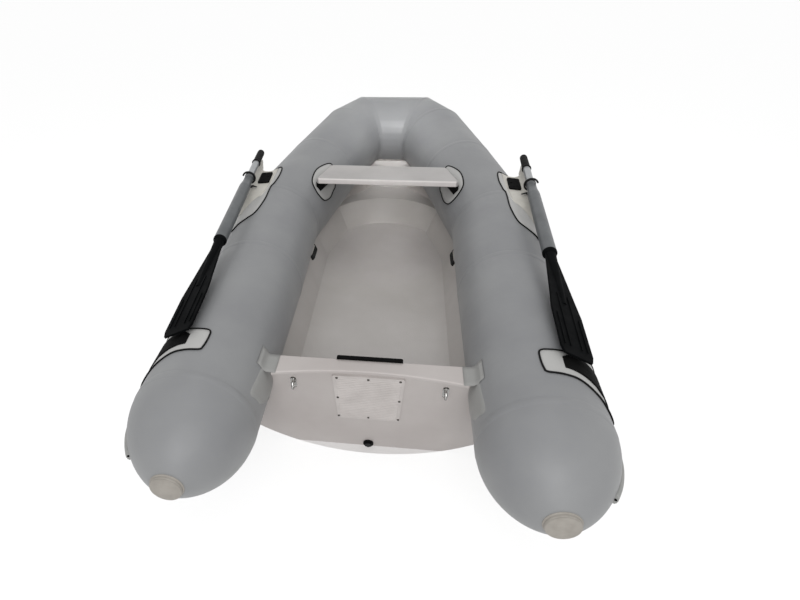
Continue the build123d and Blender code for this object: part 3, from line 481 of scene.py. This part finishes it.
# columns: run after the mitre (0) or before it (-1), metres from the mitre, lift
TAPE_ROWS = [(-1, -TAPE_HALF_WIDTH, -TAPE_SINK), (-1, TAPE_EDGE - TAPE_HALF_WIDTH, TAPE_THICKNESS),
             (-1, 0.0, TAPE_THICKNESS), (0, TAPE_HALF_WIDTH - TAPE_EDGE, TAPE_THICKNESS),
             (0, TAPE_HALF_WIDTH, -TAPE_SINK)]
for corner in range(1, len(run_d)):
    stations = np.array([(corner + back, -back, metres, lift) for back, metres, lift in TAPE_ROWS])
    tape = carried(TUBE_RADIUS * circle, circle, stations)
    fit(net_piece(f"seam_tape_{corner}", tape, tube_fabric))
stations = np.array([(0, 0, metres, lift) for _, metres, lift in TAPE_ROWS])
cone_tape = carried(TUBE_RADIUS * circle, circle, stations)
fit_pair("cone_tape", cone_tape, tube_fabric, "tube_fabric")

# ------------------------ cone caps
# Soft moulded rubber caps over the gathered tips of the stern cones, each with a rolled rim. They are
# glued on when the cones' panels are closed.
cap_rubber = moulded_rubber("cap_rubber_light", "#97928b", "#a29d96", 0.55)
dress(cap_rubber, "cone_cap_{}")
CAP_RADIUS = 0.050
RIM_RADIUS = 0.0035
RIM_BACK = 0.001  # the rim's middle lies this far aft of the cone's end
DOME_RADIUS = 0.0485
DOME_RISE = 0.0045
b = np.linspace(0, 2 * np.pi, 13)[::-1]
rim_profile = np.column_stack([CAP_RADIUS + RIM_RADIUS * np.cos(b),
                               CONE_END - RIM_BACK + RIM_RADIUS * np.sin(b)])
rim = turned(rim_profile, (TUBE_X, 0.0, TUBE_Z), (0, 1, 0), around=64)
fit_pair("cap_rim", rim, cap_rubber, "cap_plastic")
share = np.sin(np.linspace(1, 0.01, 12) * np.pi / 2)
cap_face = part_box("cone_cap_starboard")[0][1]
dome = turned(np.column_stack([DOME_RADIUS * share, DOME_RISE * (1 - share ** 2)]),
              (TUBE_X, cap_face, TUBE_Z), (0, -1, 0), around=64)
fit_pair("cap_dome", dome, cap_rubber, "cap_plastic", lids=(-1,))

# ------------------------ rubbing strake
# Grey extruded rubber glued along the widest line of the tubes, ridged lengthwise, with a hollow core.
# At the stern's cut ends a flat black disc paints the shade inside that core.
STRAKE_HEIGHT = 0.036
STRAKE_STAND = 0.011
STRAKE_SINK = 0.004
STRAKE_CROWN = 0.86  # stand = STRAKE_STAND sqrt(1 - crown a^2), a = -1 to 1
STRAKE_RIDGES = 5
STRAKE_RIDGE_DEPTH = 0.0014
STRAKE_TAIL = math.radians(34)
BORE_STAND = 0.0033
strake_rubber = moulded_rubber("strake_rubber_extruded", "#9a9b99", "#a6a6a3", 0.6)
across = np.linspace(-1, 1, 41)
ridges = STRAKE_RIDGE_DEPTH * (0.5 + 0.5 * np.cos(np.pi * STRAKE_RIDGES * across))
stand = STRAKE_STAND * np.sqrt(1 - STRAKE_CROWN * across ** 2) - ridges
strake_face = np.column_stack([TUBE_RADIUS + stand, across * STRAKE_HEIGHT / 2])
strake_foot = np.array([(TUBE_RADIUS - STRAKE_SINK, STRAKE_HEIGHT / 2),
                        (TUBE_RADIUS - STRAKE_SINK, -STRAKE_HEIGHT / 2)])
strake_profile = np.vstack([strake_face, strake_foot])
tail_turn = np.linspace(STRAKE_TAIL, 0, 24)[:-1, None]
bend_x = TUBE_X + TUBE_RADIUS - cone_bow  # centre of the ogive's arc
tail_reach = cone_bow - TUBE_RADIUS + strake_profile[:, 0]
tail_net = to_points(bend_x + tail_reach * np.cos(tail_turn), CONE_START - tail_reach * np.sin(tail_turn),
                     TUBE_Z + strake_profile[:, 1])
stations = np.array([(0, 0, 0, 0)] + [(run, 1, 0, 0) for run in range(len(run_d))], float)
strake_net = np.concatenate([tail_net, carried(strake_profile, 0 * strake_profile, stations),
                             (tail_net * (-1, 1, 1))[::-1]])
strake = net_piece("strake_moulding", strake_net, strake_rubber, lids=(0, -1))
fit(strake, ["rub_strake_port", "rub_strake_starboard"])
# A flat black disc on each cut end: painted shade for the dark inside the hollow core.
bore_reach = cone_bow + BORE_STAND
bore_place = (bend_x + bore_reach * math.cos(STRAKE_TAIL),
              CONE_START - bore_reach * math.sin(STRAKE_TAIL), TUBE_Z)
bore_facing = (-math.sin(STRAKE_TAIL), -math.cos(STRAKE_TAIL), 0.0)
# columns: radius, out of the strake's cut end
BORE_PROFILE = [(0.0048, -0.0005), (0.0048, 0.0004), (0.000096, 0.0004)]
bore_shade_disc = turned(BORE_PROFILE, bore_place, bore_facing, around=20)
fit_pair("strake_bore_painted_shade", bore_shade_disc, black_rubber, "black_rubber", lids=(-1,))

# ------------------------ patches
# Doublers of lighter coated cloth glued to the tubes under the seat, the rowlocks and the blade holders,
# each with a black welt along its edge.
WELT_RADIUS = 0.0032
PATCH_LIFT = 0.0024
ALMOST_ONE = 0.999  # keeps arcsines and arccosines on the tube


def on_skin(angle, station, lift=0.0):
    """Points of the starboard tube's skin at ring angle a and row station y, and the normals there.

    On the run where a point lies it is corner + (R + lift)(cos a e1 + sin a e2) + d t, with t chosen so
    that its y is the station."""
    angle, station, lift = np.broadcast_arrays(angle, station, lift)
    found = np.zeros((*angle.shape, 3))
    normals = np.zeros_like(found)
    for run in range(len(side_line) - 1):
        normal = np.cos(angle)[..., None] * run_e[run][0] + np.sin(angle)[..., None] * run_e[run][1]
        base = whole_line[run] + TUBE_RADIUS * normal
        point = base + ((station - base[..., 1]) / run_d[run][1])[..., None] * run_d[run]
        here = ((point - whole_line[run]) @ mitre_m[run] >= 0) | (run == 0)
        found[here] = (point + lift[..., None] * normal)[here]
        normals[here] = normal[here]
    return found, normals


def closed_curve(points, count):
    """Smooth closed curve through the points: the four nearest, weighted as in a Catmull-Rom spline."""
    u = np.linspace(0, len(points), count, endpoint=False)
    k, t = u.astype(int), (u % 1)[:, None]
    p = [points[(k + j) % len(points)] for j in (-1, 0, 1, 2)]
    return 0.5 * (2 * p[1] + (p[2] - p[0]) * t + (2 * p[0] - 5 * p[1] + 4 * p[2] - p[3]) * t ** 2
                  + (3 * p[1] - p[0] - 3 * p[2] + p[3]) * t ** 3)


def plan_to_skin(x, y):
    """Ring angle of the upper skin under a plan point: arccos of its offset over the tube's half breadth."""
    centre = np.interp(y, side_line[:, 1], side_line[:, 0])
    run = np.clip(np.searchsorted(side_line[:, 1], y) - 1, 0, len(side_line) - 2)
    breadth = TUBE_RADIUS * np.linalg.norm(run_d[run][..., :2], axis=-1) / run_d[run][..., 1]
    return np.arccos(np.clip((x - centre) / breadth, -ALMOST_ONE, ALMOST_ONE))


def side_to_skin(z):
    """Ring angle of the inboard skin at a height: pi less the arcsine of the height over the radius."""
    return np.pi - np.arcsin(np.clip((z - TUBE_Z) / TUBE_RADIUS, -ALMOST_ONE, ALMOST_ONE))


def welt_net(path, normals, radius, around=10):
    """Round cord along a closed path: path + radius (cos b n + sin b (n x t)), t the path's direction."""
    along = unit(np.roll(path, -1, axis=0) - np.roll(path, 1, axis=0))
    beside = np.cross(normals, along)
    b = np.linspace(0, 2 * np.pi, around, endpoint=False)
    ring = np.cos(b)[:, None] * normals[:, None] + np.sin(b)[:, None] * beside[:, None]
    net = path[:, None] + radius * ring
    return np.concatenate([net, net[:1]])


# columns: share of the way from a patch's middle to its edge, share of its lift
PATCH_RINGS = np.array([(0.0, 1), (0.2, 1), (0.4, 1), (0.6, 1), (0.8, 1), (0.97, 1), (1.0, -0.3)])


def patch(name, angle, station, node, cloth, slot, lift=PATCH_LIFT, welt=None):
    """Pair of patches inside an edge on the skin, in rings from the middle outward, and any welts."""
    share, rise = PATCH_RINGS[:, :1], PATCH_RINGS[:, 1:] * lift
    middle_angle, middle_station = angle.mean(), station.mean()
    net, _ = on_skin(middle_angle + share * (angle - middle_angle),
                     middle_station + share * (station - middle_station), rise)
    fit_pair(name, net, cloth, slot, node=node)
    if welt:
        cord = welt_net(*on_skin(angle, station, lift), WELT_RADIUS)
        fit_pair(f"{name}_welt", cord, welt, "black_webbing")


pad_fabric = coated_fabric("pad_fabric_coated", "#b0b0ae", "#bab9b7", 0.5)
welt_rubber = moulded_rubber("welt_rubber_extruded", "#0b0b0b", "#121212", 0.6, shine=0.1)
PATCH_EDGE_POINTS = 144
# columns: x, y in plan
PAD_OUTLINES = {
    "seat_pad": [(0.315, 1.511), (0.340, 1.503), (0.389, 1.408), (0.400, 1.309), (0.373, 1.264),
                 (0.338, 1.272), (0.312, 1.330), (0.298, 1.392), (0.292, 1.437)],
    "rowlock_pad": [(0.710, 0.822), (0.676, 0.842), (0.640, 0.865), (0.607, 0.908), (0.588, 1.029),
                    (0.586, 1.160), (0.570, 1.286), (0.578, 1.388), (0.620, 1.390), (0.700, 1.374),
                    (0.752, 1.280), (0.756, 1.000)],
    "holder_pad": [(0.630, 0.020), (0.587, 0.012), (0.548, 0.004), (0.541, -0.028), (0.544, -0.080),
                   (0.554, -0.098), (0.602, -0.100), (0.650, -0.104), (0.710, -0.130), (0.762, -0.150),
                   (0.766, 0.050), (0.690, 0.050)],
}
for pad, outline in PAD_OUTLINES.items():
    x, y = closed_curve(np.array(outline), PATCH_EDGE_POINTS).T
    patch(f"{pad}_cloth", plan_to_skin(x, y), y, pad + "_{}", pad_fabric, "patch_fabric", welt=welt_rubber)

# ------------------------ transom gussets
# Flaps of coated cloth, glued from the board's ends onto the tubes so that no water creeps past.
# A band of each flap lies over the end of the capping.
gusset_fabric = coated_fabric("gusset_fabric_coated", "#8b8b89", "#959593", 0.5)
GUSSET_LIFT = 0.0022
# columns: y, z on the tube's inboard side
GUSSET_EDGE = np.array([(0.036, 0.474), (0.0, 0.486), (-0.085, 0.494), (-0.168, 0.498), (-0.160, 0.462),
                        (-0.146, 0.428), (-0.075, 0.378), (-0.002, 0.332), (0.014, 0.270), (0.026, 0.222),
                        (0.060, 0.218), (0.050, 0.340)])
y, z = closed_curve(GUSSET_EDGE, PATCH_EDGE_POINTS).T
patch("gusset_flap", side_to_skin(z), y, "transom_gusset_{}", gusset_fabric, "patch_fabric", lift=GUSSET_LIFT)
# columns: x, z of the band, from the tube's skin inboard
BAND_ACROSS = np.array([(0.3815, 0.5145), (0.3700, 0.4950), (0.3635, 0.4810), (0.3530, 0.4748),
                        (0.3400, 0.4740), (0.3220, 0.4736)])
BAND_AFT, BAND_FORWARD = -0.036, 0.058
BAND_HALF_THICKNESS = 0.0008
BAND_CROWN = 0.0003
band_x, band_z = np.vstack([BAND_ACROSS + (0, BAND_HALF_THICKNESS),
                            BAND_ACROSS[::-1] - (0, BAND_HALF_THICKNESS)]).T
share = np.linspace(0, 1, 7)[:, None]
band_y = BAND_AFT + share * (BAND_FORWARD - BAND_AFT)
band_net = to_points(band_x, band_y, band_z + BAND_CROWN * np.sin(np.pi * share))
fit_pair("gusset_band", band_net, gusset_fabric, "patch_fabric", lids=(0, -1))


# ------------------------ seat
# Marine plywood thwart with painted faces. A pale strip over its aft edge is a painted highlight for the
# lit aft face; its ends rest on rubber holders glued to the tubes, their black a painted shade under the
# ends.
def painted_board(name, dark, light):
    """Two-part paint on sanded plywood: half gloss, with the wood's grain still lifting it in lines 12 mm
    apart along the board."""
    material, place = new_material(name)
    drawn = add_node(material, "Mapping", {"Vector": place, "Scale": (0.08, 1.0, 1.0)})
    lines = add_node(material, "TexNoise", {"Vector": (drawn, "Vector"), "Scale": 1 / 0.012, "Detail": 4.0})
    gloss = wandering(material, (drawn, "Vector"), 0.012, 0.34, 0.48, detail=4.0)
    return close_material(material, tones(material, place, 0.2, dark, light), gloss, (lines, "Fac"), 0.0002,
                          IOR=1.5)


dress(painted_board("seat_board_painted", "#a9a6a4", "#b3b0ae"), "seat")
# The holders are dressed black: painted shade for the dark under the seat's ends.
dress(black_rubber, "seat_bracket_{}")
# A pale strip over the board's aft edge: painted highlight for the aft face, which faces the light.
aft_face_highlight = moulded_plastic("seat_aft_face_painted_highlight", "#d9d4d2", "#e0dbd9", 0.4)
seat_low, seat_high = np.array(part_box("seat"))
seat_thickness = seat_high[2] - seat_low[2]
EDGE_STAND = 0.0025
EDGE_LAP = 0.007
EDGE_INSET = 0.011
# columns: forward of the seat's aft edge, above its lower face
edge_section = np.array([(EDGE_LAP, seat_thickness + 0.0012), (0.001, seat_thickness + 0.0014),
                         (-EDGE_STAND, seat_thickness - 0.003), (-EDGE_STAND, 0.003), (0.001, -0.0014),
                         (EDGE_LAP, -0.0012), (EDGE_LAP, 0.001), (0.001, 0.002),
                         (0.001, seat_thickness - 0.002), (EDGE_LAP, seat_thickness - 0.001)])
edge_x = np.array([seat_low[0] + EDGE_INSET, seat_high[0] - EDGE_INSET])[:, None]
edge_net = to_points(edge_x, seat_low[1] + edge_section[:, 0], seat_low[2] + edge_section[:, 1])
fit(net_piece("seat_aft_painted_highlight_strip", edge_net, aft_face_highlight, lids=(0, -1), smooth=False))


# ------------------------ strap loops
# Short loops of black polyester webbing to tie gear to. Their ends are stitched flat to the tube's
# inner side.
def woven_webbing(name, dark, light):
    """Polyester webbing: dull black with cross ribs 2 mm apart, drawn 4 mm apart, that catch a thin light."""
    material, place = new_material(name)
    cloth = (add_node(material, "UVMap", uv_map="metres"), "UV")
    rib_scale = 2 * math.pi / (20 * 0.004)
    ribs = add_node(material, "TexWave", {"Vector": cloth, "Scale": rib_scale}, bands_direction="Y")
    worn = wandering(material, place, 0.01, 0.7, 0.9, detail=5.0)
    return close_material(material, tones(material, place, 0.02, dark, light), worn, (ribs, "Fac"), 0.0006,
                          Sheen_Weight=0.05, Sheen_Roughness=0.4, Specular_IOR_Level=0.1)


def strap_net(path, width_way, width, thickness, around=16):
    """Flat strap along a path: path + width/2 c w + thickness/2 s n, with c and s the cosine and sine of a
    ring angle drawn out to a rounded oblong by their 0.3 power, w the width's direction and n = w x t."""
    along = unit(np.gradient(path, axis=0))
    normal = unit(np.cross(width_way, along))
    b = np.linspace(0, 2 * np.pi, around, endpoint=False)
    c, s = (np.sign(f(b)) * np.abs(f(b)) ** 0.3 for f in (np.cos, np.sin))
    wide = (width / 2 * c)[:, None] * np.array(width_way)
    return path[:, None] + wide + (thickness / 2 * s)[:, None] * normal[:, None]


webbing = woven_webbing("black_webbing_woven", "#0d0d0d", "#161616")
LOOP_WIDTH, LOOP_THICKNESS = 0.026, 0.003
LOOP_TILT = (0.42, 0.0, 0.907)  # direction of its width, up the tube's skin
LOOP_SEAT = 0.004  # the stitched ends' middle, inboard of the node's outer side
LOOP_STAND = 0.0085
LOOP_STEEPNESS = 3.5  # stand = LOOP_STAND tanh(steepness sin(pi u))
loop_low, loop_high = np.array(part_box("strap_loop_starboard"))
share = np.linspace(0, 1, 41)
loop_x = loop_high[0] - LOOP_SEAT - LOOP_STAND * np.tanh(LOOP_STEEPNESS * np.sin(np.pi * share))
loop_y = loop_low[1] + share * (loop_high[1] - loop_low[1])
loop_path = to_points(loop_x, loop_y, (loop_low[2] + loop_high[2]) / 2)
loop_net = strap_net(loop_path, LOOP_TILT, LOOP_WIDTH, LOOP_THICKNESS)
fit_pair("webbing_loop", loop_net, webbing, "black_webbing", node="strap_loop_{}", lids=(0, -1))

# ------------------------ rowlock bases
# Pale nylon mouldings glued on the tubes, hollowed at the front round the swell of the bow tube, each
# with the socket of the rowlock's pin and a black rubber insert: painted shade for a hollow in its side.
base_nylon = moulded_plastic("base_nylon_moulded", "#c3c0b8", "#cecbc3", 0.42)
dress(base_nylon, "rowlock_base_{}")
# The insert's black is painted shade for a shaded hollow in the base's side.
dress(black_rubber, "rowlock_insert_{}")
pin = np.array(next(joint["pos_m"] for joint in frame["record"]["behaviour"]["joints"]
                    if joint["name"] == "oar_starboard_swing"))
BASE_DROP = 0.048  # top of the base under the pin's pivot
BASE_RISE, BASE_BANK = 0.08, 0.10  # slopes of its top, forward and inboard
BASE_TAIL_Y, BASE_TAIL_RISE = 1.085, 0.34
BEAD_RADIUS = 0.0032
BEAD_SINK = 0.6 * BEAD_RADIUS
BEAD_STEP = 0.012
# columns: outboard of the pin, y
BASE_EDGE = np.array([(0.008, 1.500), (0.030, 1.380), (0.040, 1.250), (0.040, 1.030), (0.022, 0.975),
                      (-0.008, 0.960), (-0.056, 1.010), (-0.090, 1.110), (-0.104, 1.200), (-0.106, 1.372)])
SCOOP = np.array([(-0.106, 1.372), (-0.056, 1.344), (-0.018, 1.396)])


def arc_through(a, b, c, count):
    """Arc of the circle through three plan points: centre + radius (cos, sin), the angle stepping evenly."""
    (ax, ay), (bx, by), (cx, cy) = a, b, c
    d = 2 * (ax * (by - cy) + bx * (cy - ay) + cx * (ay - by))
    aa, bb, cc = (x * x + y * y for x, y in (a, b, c))
    centre = np.array([aa * (by - cy) + bb * (cy - ay) + cc * (ay - by),
                       aa * (cx - bx) + bb * (ax - cx) + cc * (bx - ax)]) / d
    first, middle, last = (math.atan2(y - centre[1], x - centre[0]) for x, y in (a, b, c))
    last = first + (last - first) % (2 * math.pi)
    if (middle - first) % (2 * math.pi) > last - first:
        last -= 2 * math.pi
    turn = np.linspace(first, last, count)
    return centre + np.hypot(ax - centre[0], ay - centre[1]) * np.column_stack([np.cos(turn), np.sin(turn)])


def divided(points, step):
    """Open line of points with each straight stretch divided evenly into parts of about the step."""
    parts = [np.linspace(a, b, max(2, int(np.linalg.norm(b - a) / step)), endpoint=False)
             for a, b in zip(points[:-1], points[1:])]
    return np.vstack([*parts, points[-1:]])


scoop_arc = arc_through(*SCOOP, count=14)
out, y = divided(np.vstack([BASE_EDGE, scoop_arc[1:]]), BEAD_STEP).T
tail_drop = (BASE_TAIL_RISE - BASE_RISE) * np.clip(BASE_TAIL_Y - y, 0, None)
rise = BASE_RISE * (y - pin[1]) - BASE_BANK * out - tail_drop
bead_path = to_points(pin[0] + out, y, pin[2] - BASE_DROP + rise - BEAD_SINK)
base_normal = unit(np.array([BASE_BANK, -BASE_RISE, 1.0]))
bead = welt_net(bead_path, base_normal + 0 * bead_path, BEAD_RADIUS)
fit_pair("base_bead", bead, base_nylon, "rowlock_moulding")
# columns: radius, above the base's top
SOCKET_PROFILE = [(0.0135, -0.003), (0.0135, 0.002), (0.012, 0.0035), (0.0066, 0.0035), (0.0066, -0.002)]
socket = turned(SOCKET_PROFILE, pin - (0, 0, BASE_DROP), (0, 0, 1), around=40)
fit_pair("pin_socket", socket, black_plastic, "black_plastic")

# ------------------------ rowlocks
# Open rings of black nylon on a pin, sprung over the oar's collar. The pin drops into the base's socket
# and is locked there by a short lever.
ring_plastic = moulded_plastic("rowlock_nylon_moulded", "#0f0f10", "#171718", 0.42, shine=0.18)
dress(ring_plastic, "rowlock_{}")
LEVER_ROOT = np.array([-0.011, 0.0, 0.009 - BASE_DROP])
LEVER_REACH = np.array([-0.0315, -0.0273, 0.004])
LEVER_HEIGHT, LEVER_THICKNESS = 0.006, 0.008
LEVER_ROOT_SIZE, LEVER_TIP_SIZE = 1.15, 0.70
share = np.linspace(0, 1, 12)
lever_path = pin + LEVER_ROOT + share[:, None] * LEVER_REACH
lever = strap_net(lever_path, (0.0, 0.0, 1.0), LEVER_HEIGHT, LEVER_THICKNESS)
lever_size = LEVER_ROOT_SIZE + (LEVER_TIP_SIZE - LEVER_ROOT_SIZE) * share
lever = lever_path[:, None] + (lever - lever_path[:, None]) * lever_size[:, None, None]
fit_pair("pin_lever", lever, ring_plastic, "black_plastic", body="oar_{}", lids=(0, -1))


# ------------------------ oars
# Anodised alloy shaft with a ribbed rubber grip, a long grey plastic sleeve that bears in the rowlock,
# and a moulded blade whose socket takes the shaft's end.
def anodised_alloy(name, dark, light):
    """Anodised aluminium tube: grey satin metal, with drawing lines along it, drawn 1.5 mm apart, that
    stretch the light."""
    material, place = new_material(name)
    drawn = add_node(material, "Mapping", {"Vector": place, "Scale": (1.0, 0.03, 1.0)})
    lines = add_node(material, "TexNoise",
                     {"Vector": (drawn, "Vector"), "Scale": 1 / 0.0015, "Detail": 3.0})
    satin = wandering(material, (drawn, "Vector"), 0.0015, 0.28, 0.42, detail=3.0)
    return close_material(material, tones(material, place, 0.05, dark, light), satin, (lines, "Fac"),
                          0.00004, Metallic=1.0)


alloy = anodised_alloy("oar_alloy_anodised", "#9c9e9f", "#a8aaab")
sleeve_plastic = moulded_plastic("oar_sleeve_plastic_extruded", "#505355", "#5b5e60", 0.36)
blade_plastic = moulded_plastic("oar_blade_plastic_moulded", "#08090a", "#0f1011", 0.58, shine=0.02)
grip_rubber = moulded_rubber("grip_rubber_moulded", "#0d0d0d", "#161616", 0.62, shine=0.1)
dress(alloy, "oar_shaft_{}")
dress(sleeve_plastic, "oar_sleeve_{}")
dress(blade_plastic, "oar_blade_{}")
OAR_FOOT = np.array([0.664, 0.084, 0.614])
oar_way = unit(pin - OAR_FOOT)


def along_oar(y, further=0.0):
    """Point of the oar's axis at a row station y, and metres further towards its grip."""
    return pin + oar_way * ((y - pin[1]) / oar_way[1] + further)


GRIP_RADIUS = 0.0193
GRIP_LENGTH = 0.150
GRIP_TIP_Y = 1.505
GRIP_TAPER = 0.06
GRIP_FLANGE = 0.0235
FLANGE_PLACE, FLANGE_SPREAD = 0.02, 0.025  # shares of the grip's length
GRIP_RIBS = 11
RIB_STAND = 0.0008
RIBS_FROM, RIBS_TO = 0.15, 0.9
ROUND_FROM, ROUND_OVER = 0.93, 0.0701
LEAST_RADIUS = 0.0004
share = np.linspace(0, 1, 90)
ribbed = (share > RIBS_FROM) * (share < RIBS_TO)
finger_ribs = RIB_STAND * (0.5 - 0.5 * np.cos(2 * np.pi * GRIP_RIBS * share)) * ribbed
flange = (GRIP_FLANGE - GRIP_RADIUS) * np.exp(-((share - FLANGE_PLACE) / FLANGE_SPREAD) ** 2)
rounding = np.sqrt(np.clip(1 - ((share - ROUND_FROM) / ROUND_OVER).clip(0) ** 2, 0, 1))
grip_radius = (GRIP_RADIUS * (1 - GRIP_TAPER * share) + finger_ribs) * rounding + flange
grip_profile = np.column_stack([np.maximum(grip_radius, LEAST_RADIUS), (share - 1) * GRIP_LENGTH])
grip = turned(grip_profile, along_oar(GRIP_TIP_Y), oar_way, around=36)
fit_pair("grip_sleeve", grip, grip_rubber, "black_rubber", node="oar_grip_{}", body="oar_{}", lids=(0, -1))

COLLAR_FORWARD = 0.014
# columns: radius, forward of the collar's middle
COLLAR_PROFILE = [(0.018, -0.006), (0.0235, -0.006), (0.0245, -0.004), (0.0245, 0.004), (0.0235, 0.006),
                  (0.0162, 0.006)]
collar = turned(COLLAR_PROFILE, along_oar(pin[1], COLLAR_FORWARD), oar_way, around=40)
fit_pair("sleeve_collar", collar, ring_plastic, "black_plastic", body="oar_{}")

OAR_END_Y = -0.020
NECK_FROM_END = 0.600
# columns: radius, forward of the blade's neck
FERRULE_PROFILE = [(0.0220, -0.014), (0.0250, -0.012), (0.0288, -0.002), (0.0288, 0.005), (0.0279, 0.006)]
ferrule = turned(FERRULE_PROFILE, along_oar(OAR_END_Y, NECK_FROM_END), oar_way, around=40)
fit_pair("blade_ferrule", ferrule, blade_plastic, "black_plastic", body="oar_{}")

# ------------------------ blade holders
# Thick black rubber saddles glued over the stern patches. The stowed blades' tips lie on them, clear of
# the tubes' cloth.
SADDLE_LIFT = 0.0056
SADDLE_STEP = 0.006
# columns: x, y in plan
SADDLE_EDGE = np.array([(0.640, 0.010), (0.610, -0.014), (0.609, -0.068), (0.634, -0.069), (0.690, -0.079),
                        (0.740, -0.100), (0.764, -0.106), (0.767, 0.008), (0.690, 0.013)])
x, y = divided(np.vstack([SADDLE_EDGE, SADDLE_EDGE[:1]]), SADDLE_STEP)[:-1].T
patch("blade_saddle", plan_to_skin(x, y), y, "holder_strap_{}", black_rubber, "black_webbing",
      lift=SADDLE_LIFT)

# ------------------------ floor, light and camera
# The floor is the water's surface at the light waterline: a pale sheet that keeps the boat's shadow and
# lets the wetted hull show through.
WATER_RADIUS = 60.0
WATER_POINTS = 96
WATER_COVER = 0.42  # share of the light that the sheet stops
WATER_GLOW = 0.48
angle = np.linspace(0, 2 * np.pi, WATER_POINTS, endpoint=False)
water_edge = to_points(WATER_RADIUS * np.cos(angle), WATER_RADIUS * np.sin(angle), 0.0)
floor_mesh = bpy.data.meshes.new("floor")
floor_mesh.from_pydata(water_edge.tolist(), [], [list(range(WATER_POINTS))])
floor = bpy.data.objects.new("floor", floor_mesh)
scene.collection.objects.link(floor)

# Matt white to light, and white with a glow of its own to the camera.
floor_white, _ = new_material("floor_white")
ray = add_node(floor_white, "LightPath")
matt = add_node(floor_white, "BsdfDiffuse", {"Color": linear("#e6e6e6")})
glow = add_node(floor_white, "Emission", {"Color": linear("#ffffff"), "Strength": WATER_GLOW})
lit = add_node(floor_white, "AddShader", {0: (matt, "BSDF"), 1: (glow, "Emission")})
shown = add_node(floor_white, "MixShader",
                 {0: (ray, "Is Camera Ray"), 1: (matt, "BSDF"), 2: (lit, "Shader")})
clear = add_node(floor_white, "BsdfTransparent")
sheet = add_node(floor_white, "MixShader", {0: WATER_COVER, 1: (clear, "BSDF"), 2: (shown, "Shader")})
add_node(floor_white, "OutputMaterial", {"Surface": (sheet, "Shader")})
floor_mesh.materials.append(floor_white)

# A white room: full white where it is seen, mirrored or looked through to, and dimmer as a light.
ROOM_LIGHT = 0.60
world = bpy.data.worlds.new("studio")
scene.world = world
world.use_nodes = True
world.node_tree.nodes.clear()
ray = add_node(world, "LightPath")
seen = add_node(world, "Math", {0: (ray, "Is Camera Ray"), 1: (ray, "Is Glossy Ray")}, operation="MAXIMUM")
seen = add_node(world, "Math", {0: (seen, "Value"), 1: (ray, "Is Transmission Ray")}, operation="MAXIMUM")
room = add_node(world, "Background", {"Color": linear("#ffffff"), "Strength": ROOM_LIGHT})
white = add_node(world, "Background", {"Color": linear("#ffffff"), "Strength": 1.0})
both = add_node(world, "MixShader", {0: (seen, "Value"), 1: (room, "Background"), 2: (white, "Background")})
add_node(world, "OutputWorld", {"Surface": (both, "Shader")})


def soft_lamp(name, place, target, size, watts, spread=180.0):
    """Square area lamp facing its target, its beam as many degrees wide as its spread."""
    lamp = bpy.data.lights.new(name, "AREA")
    lamp.size = size
    lamp.energy = watts
    lamp.spread = math.radians(spread)
    holder = bpy.data.objects.new(name, lamp)
    scene.collection.objects.link(holder)
    holder.location = place
    holder.rotation_euler = (Vector(target) - Vector(place)).to_track_quat("-Z", "Y").to_euler()


soft_lamp("ceiling_softbox", place=(0.0, 1.2, 4.2), target=(0.0, 1.0, 0.3), size=3.0, watts=26.0)
soft_lamp("stern_softbox", place=(0.2, -3.4, 2.4), target=(0.0, 0.6, 0.3), size=2.6, watts=70.0)
# Two narrow beams lift the bow's inner side and the fore deck, which the tubes shade.
soft_lamp("bow_softbox", place=(0.0, 0.3, 1.9), target=(0.0, 2.30, 0.50), size=0.4, watts=0.6, spread=24.0)
soft_lamp("cockpit_softbox", place=(0.0, -1.0, 2.4), target=(0.0, 1.35, 0.20), size=0.3, watts=0.14,
          spread=12.0)

# The camera stands above the stern and looks down towards the bow.
EYE = (0.0839, -1.4249, 1.7593)
YAW, PITCH, ROLL = -0.1469, -0.6029, -0.0323
FOCAL_PIXELS = 549.6
PRINCIPAL_X, PRINCIPAL_Y = 329.8, 299.9
FRAME_WIDTH, FRAME_HEIGHT = 800, 600
SENSOR = 36.0
forward = np.array([math.sin(YAW) * math.cos(PITCH), math.cos(YAW) * math.cos(PITCH), math.sin(PITCH)])
sideways = unit(np.cross(forward, (0, 0, 1)))
upright = np.cross(sideways, forward)
right = sideways * math.cos(ROLL) + upright * math.sin(ROLL)
up = -sideways * math.sin(ROLL) + upright * math.cos(ROLL)
lens = bpy.data.cameras.new("camera")
lens.sensor_width = SENSOR
lens.lens = FOCAL_PIXELS / FRAME_WIDTH * SENSOR
lens.shift_x = (FRAME_WIDTH / 2 - PRINCIPAL_X) / FRAME_WIDTH
lens.shift_y = (PRINCIPAL_Y - FRAME_HEIGHT / 2) / FRAME_WIDTH
camera = bpy.data.objects.new("camera", lens)
scene.collection.objects.link(camera)
camera.matrix_world = Matrix([(right[i], up[i], -forward[i], EYE[i]) for i in range(3)] + [(0, 0, 0, 1)])
scene.camera = camera
scene.view_settings.view_transform = "Standard"
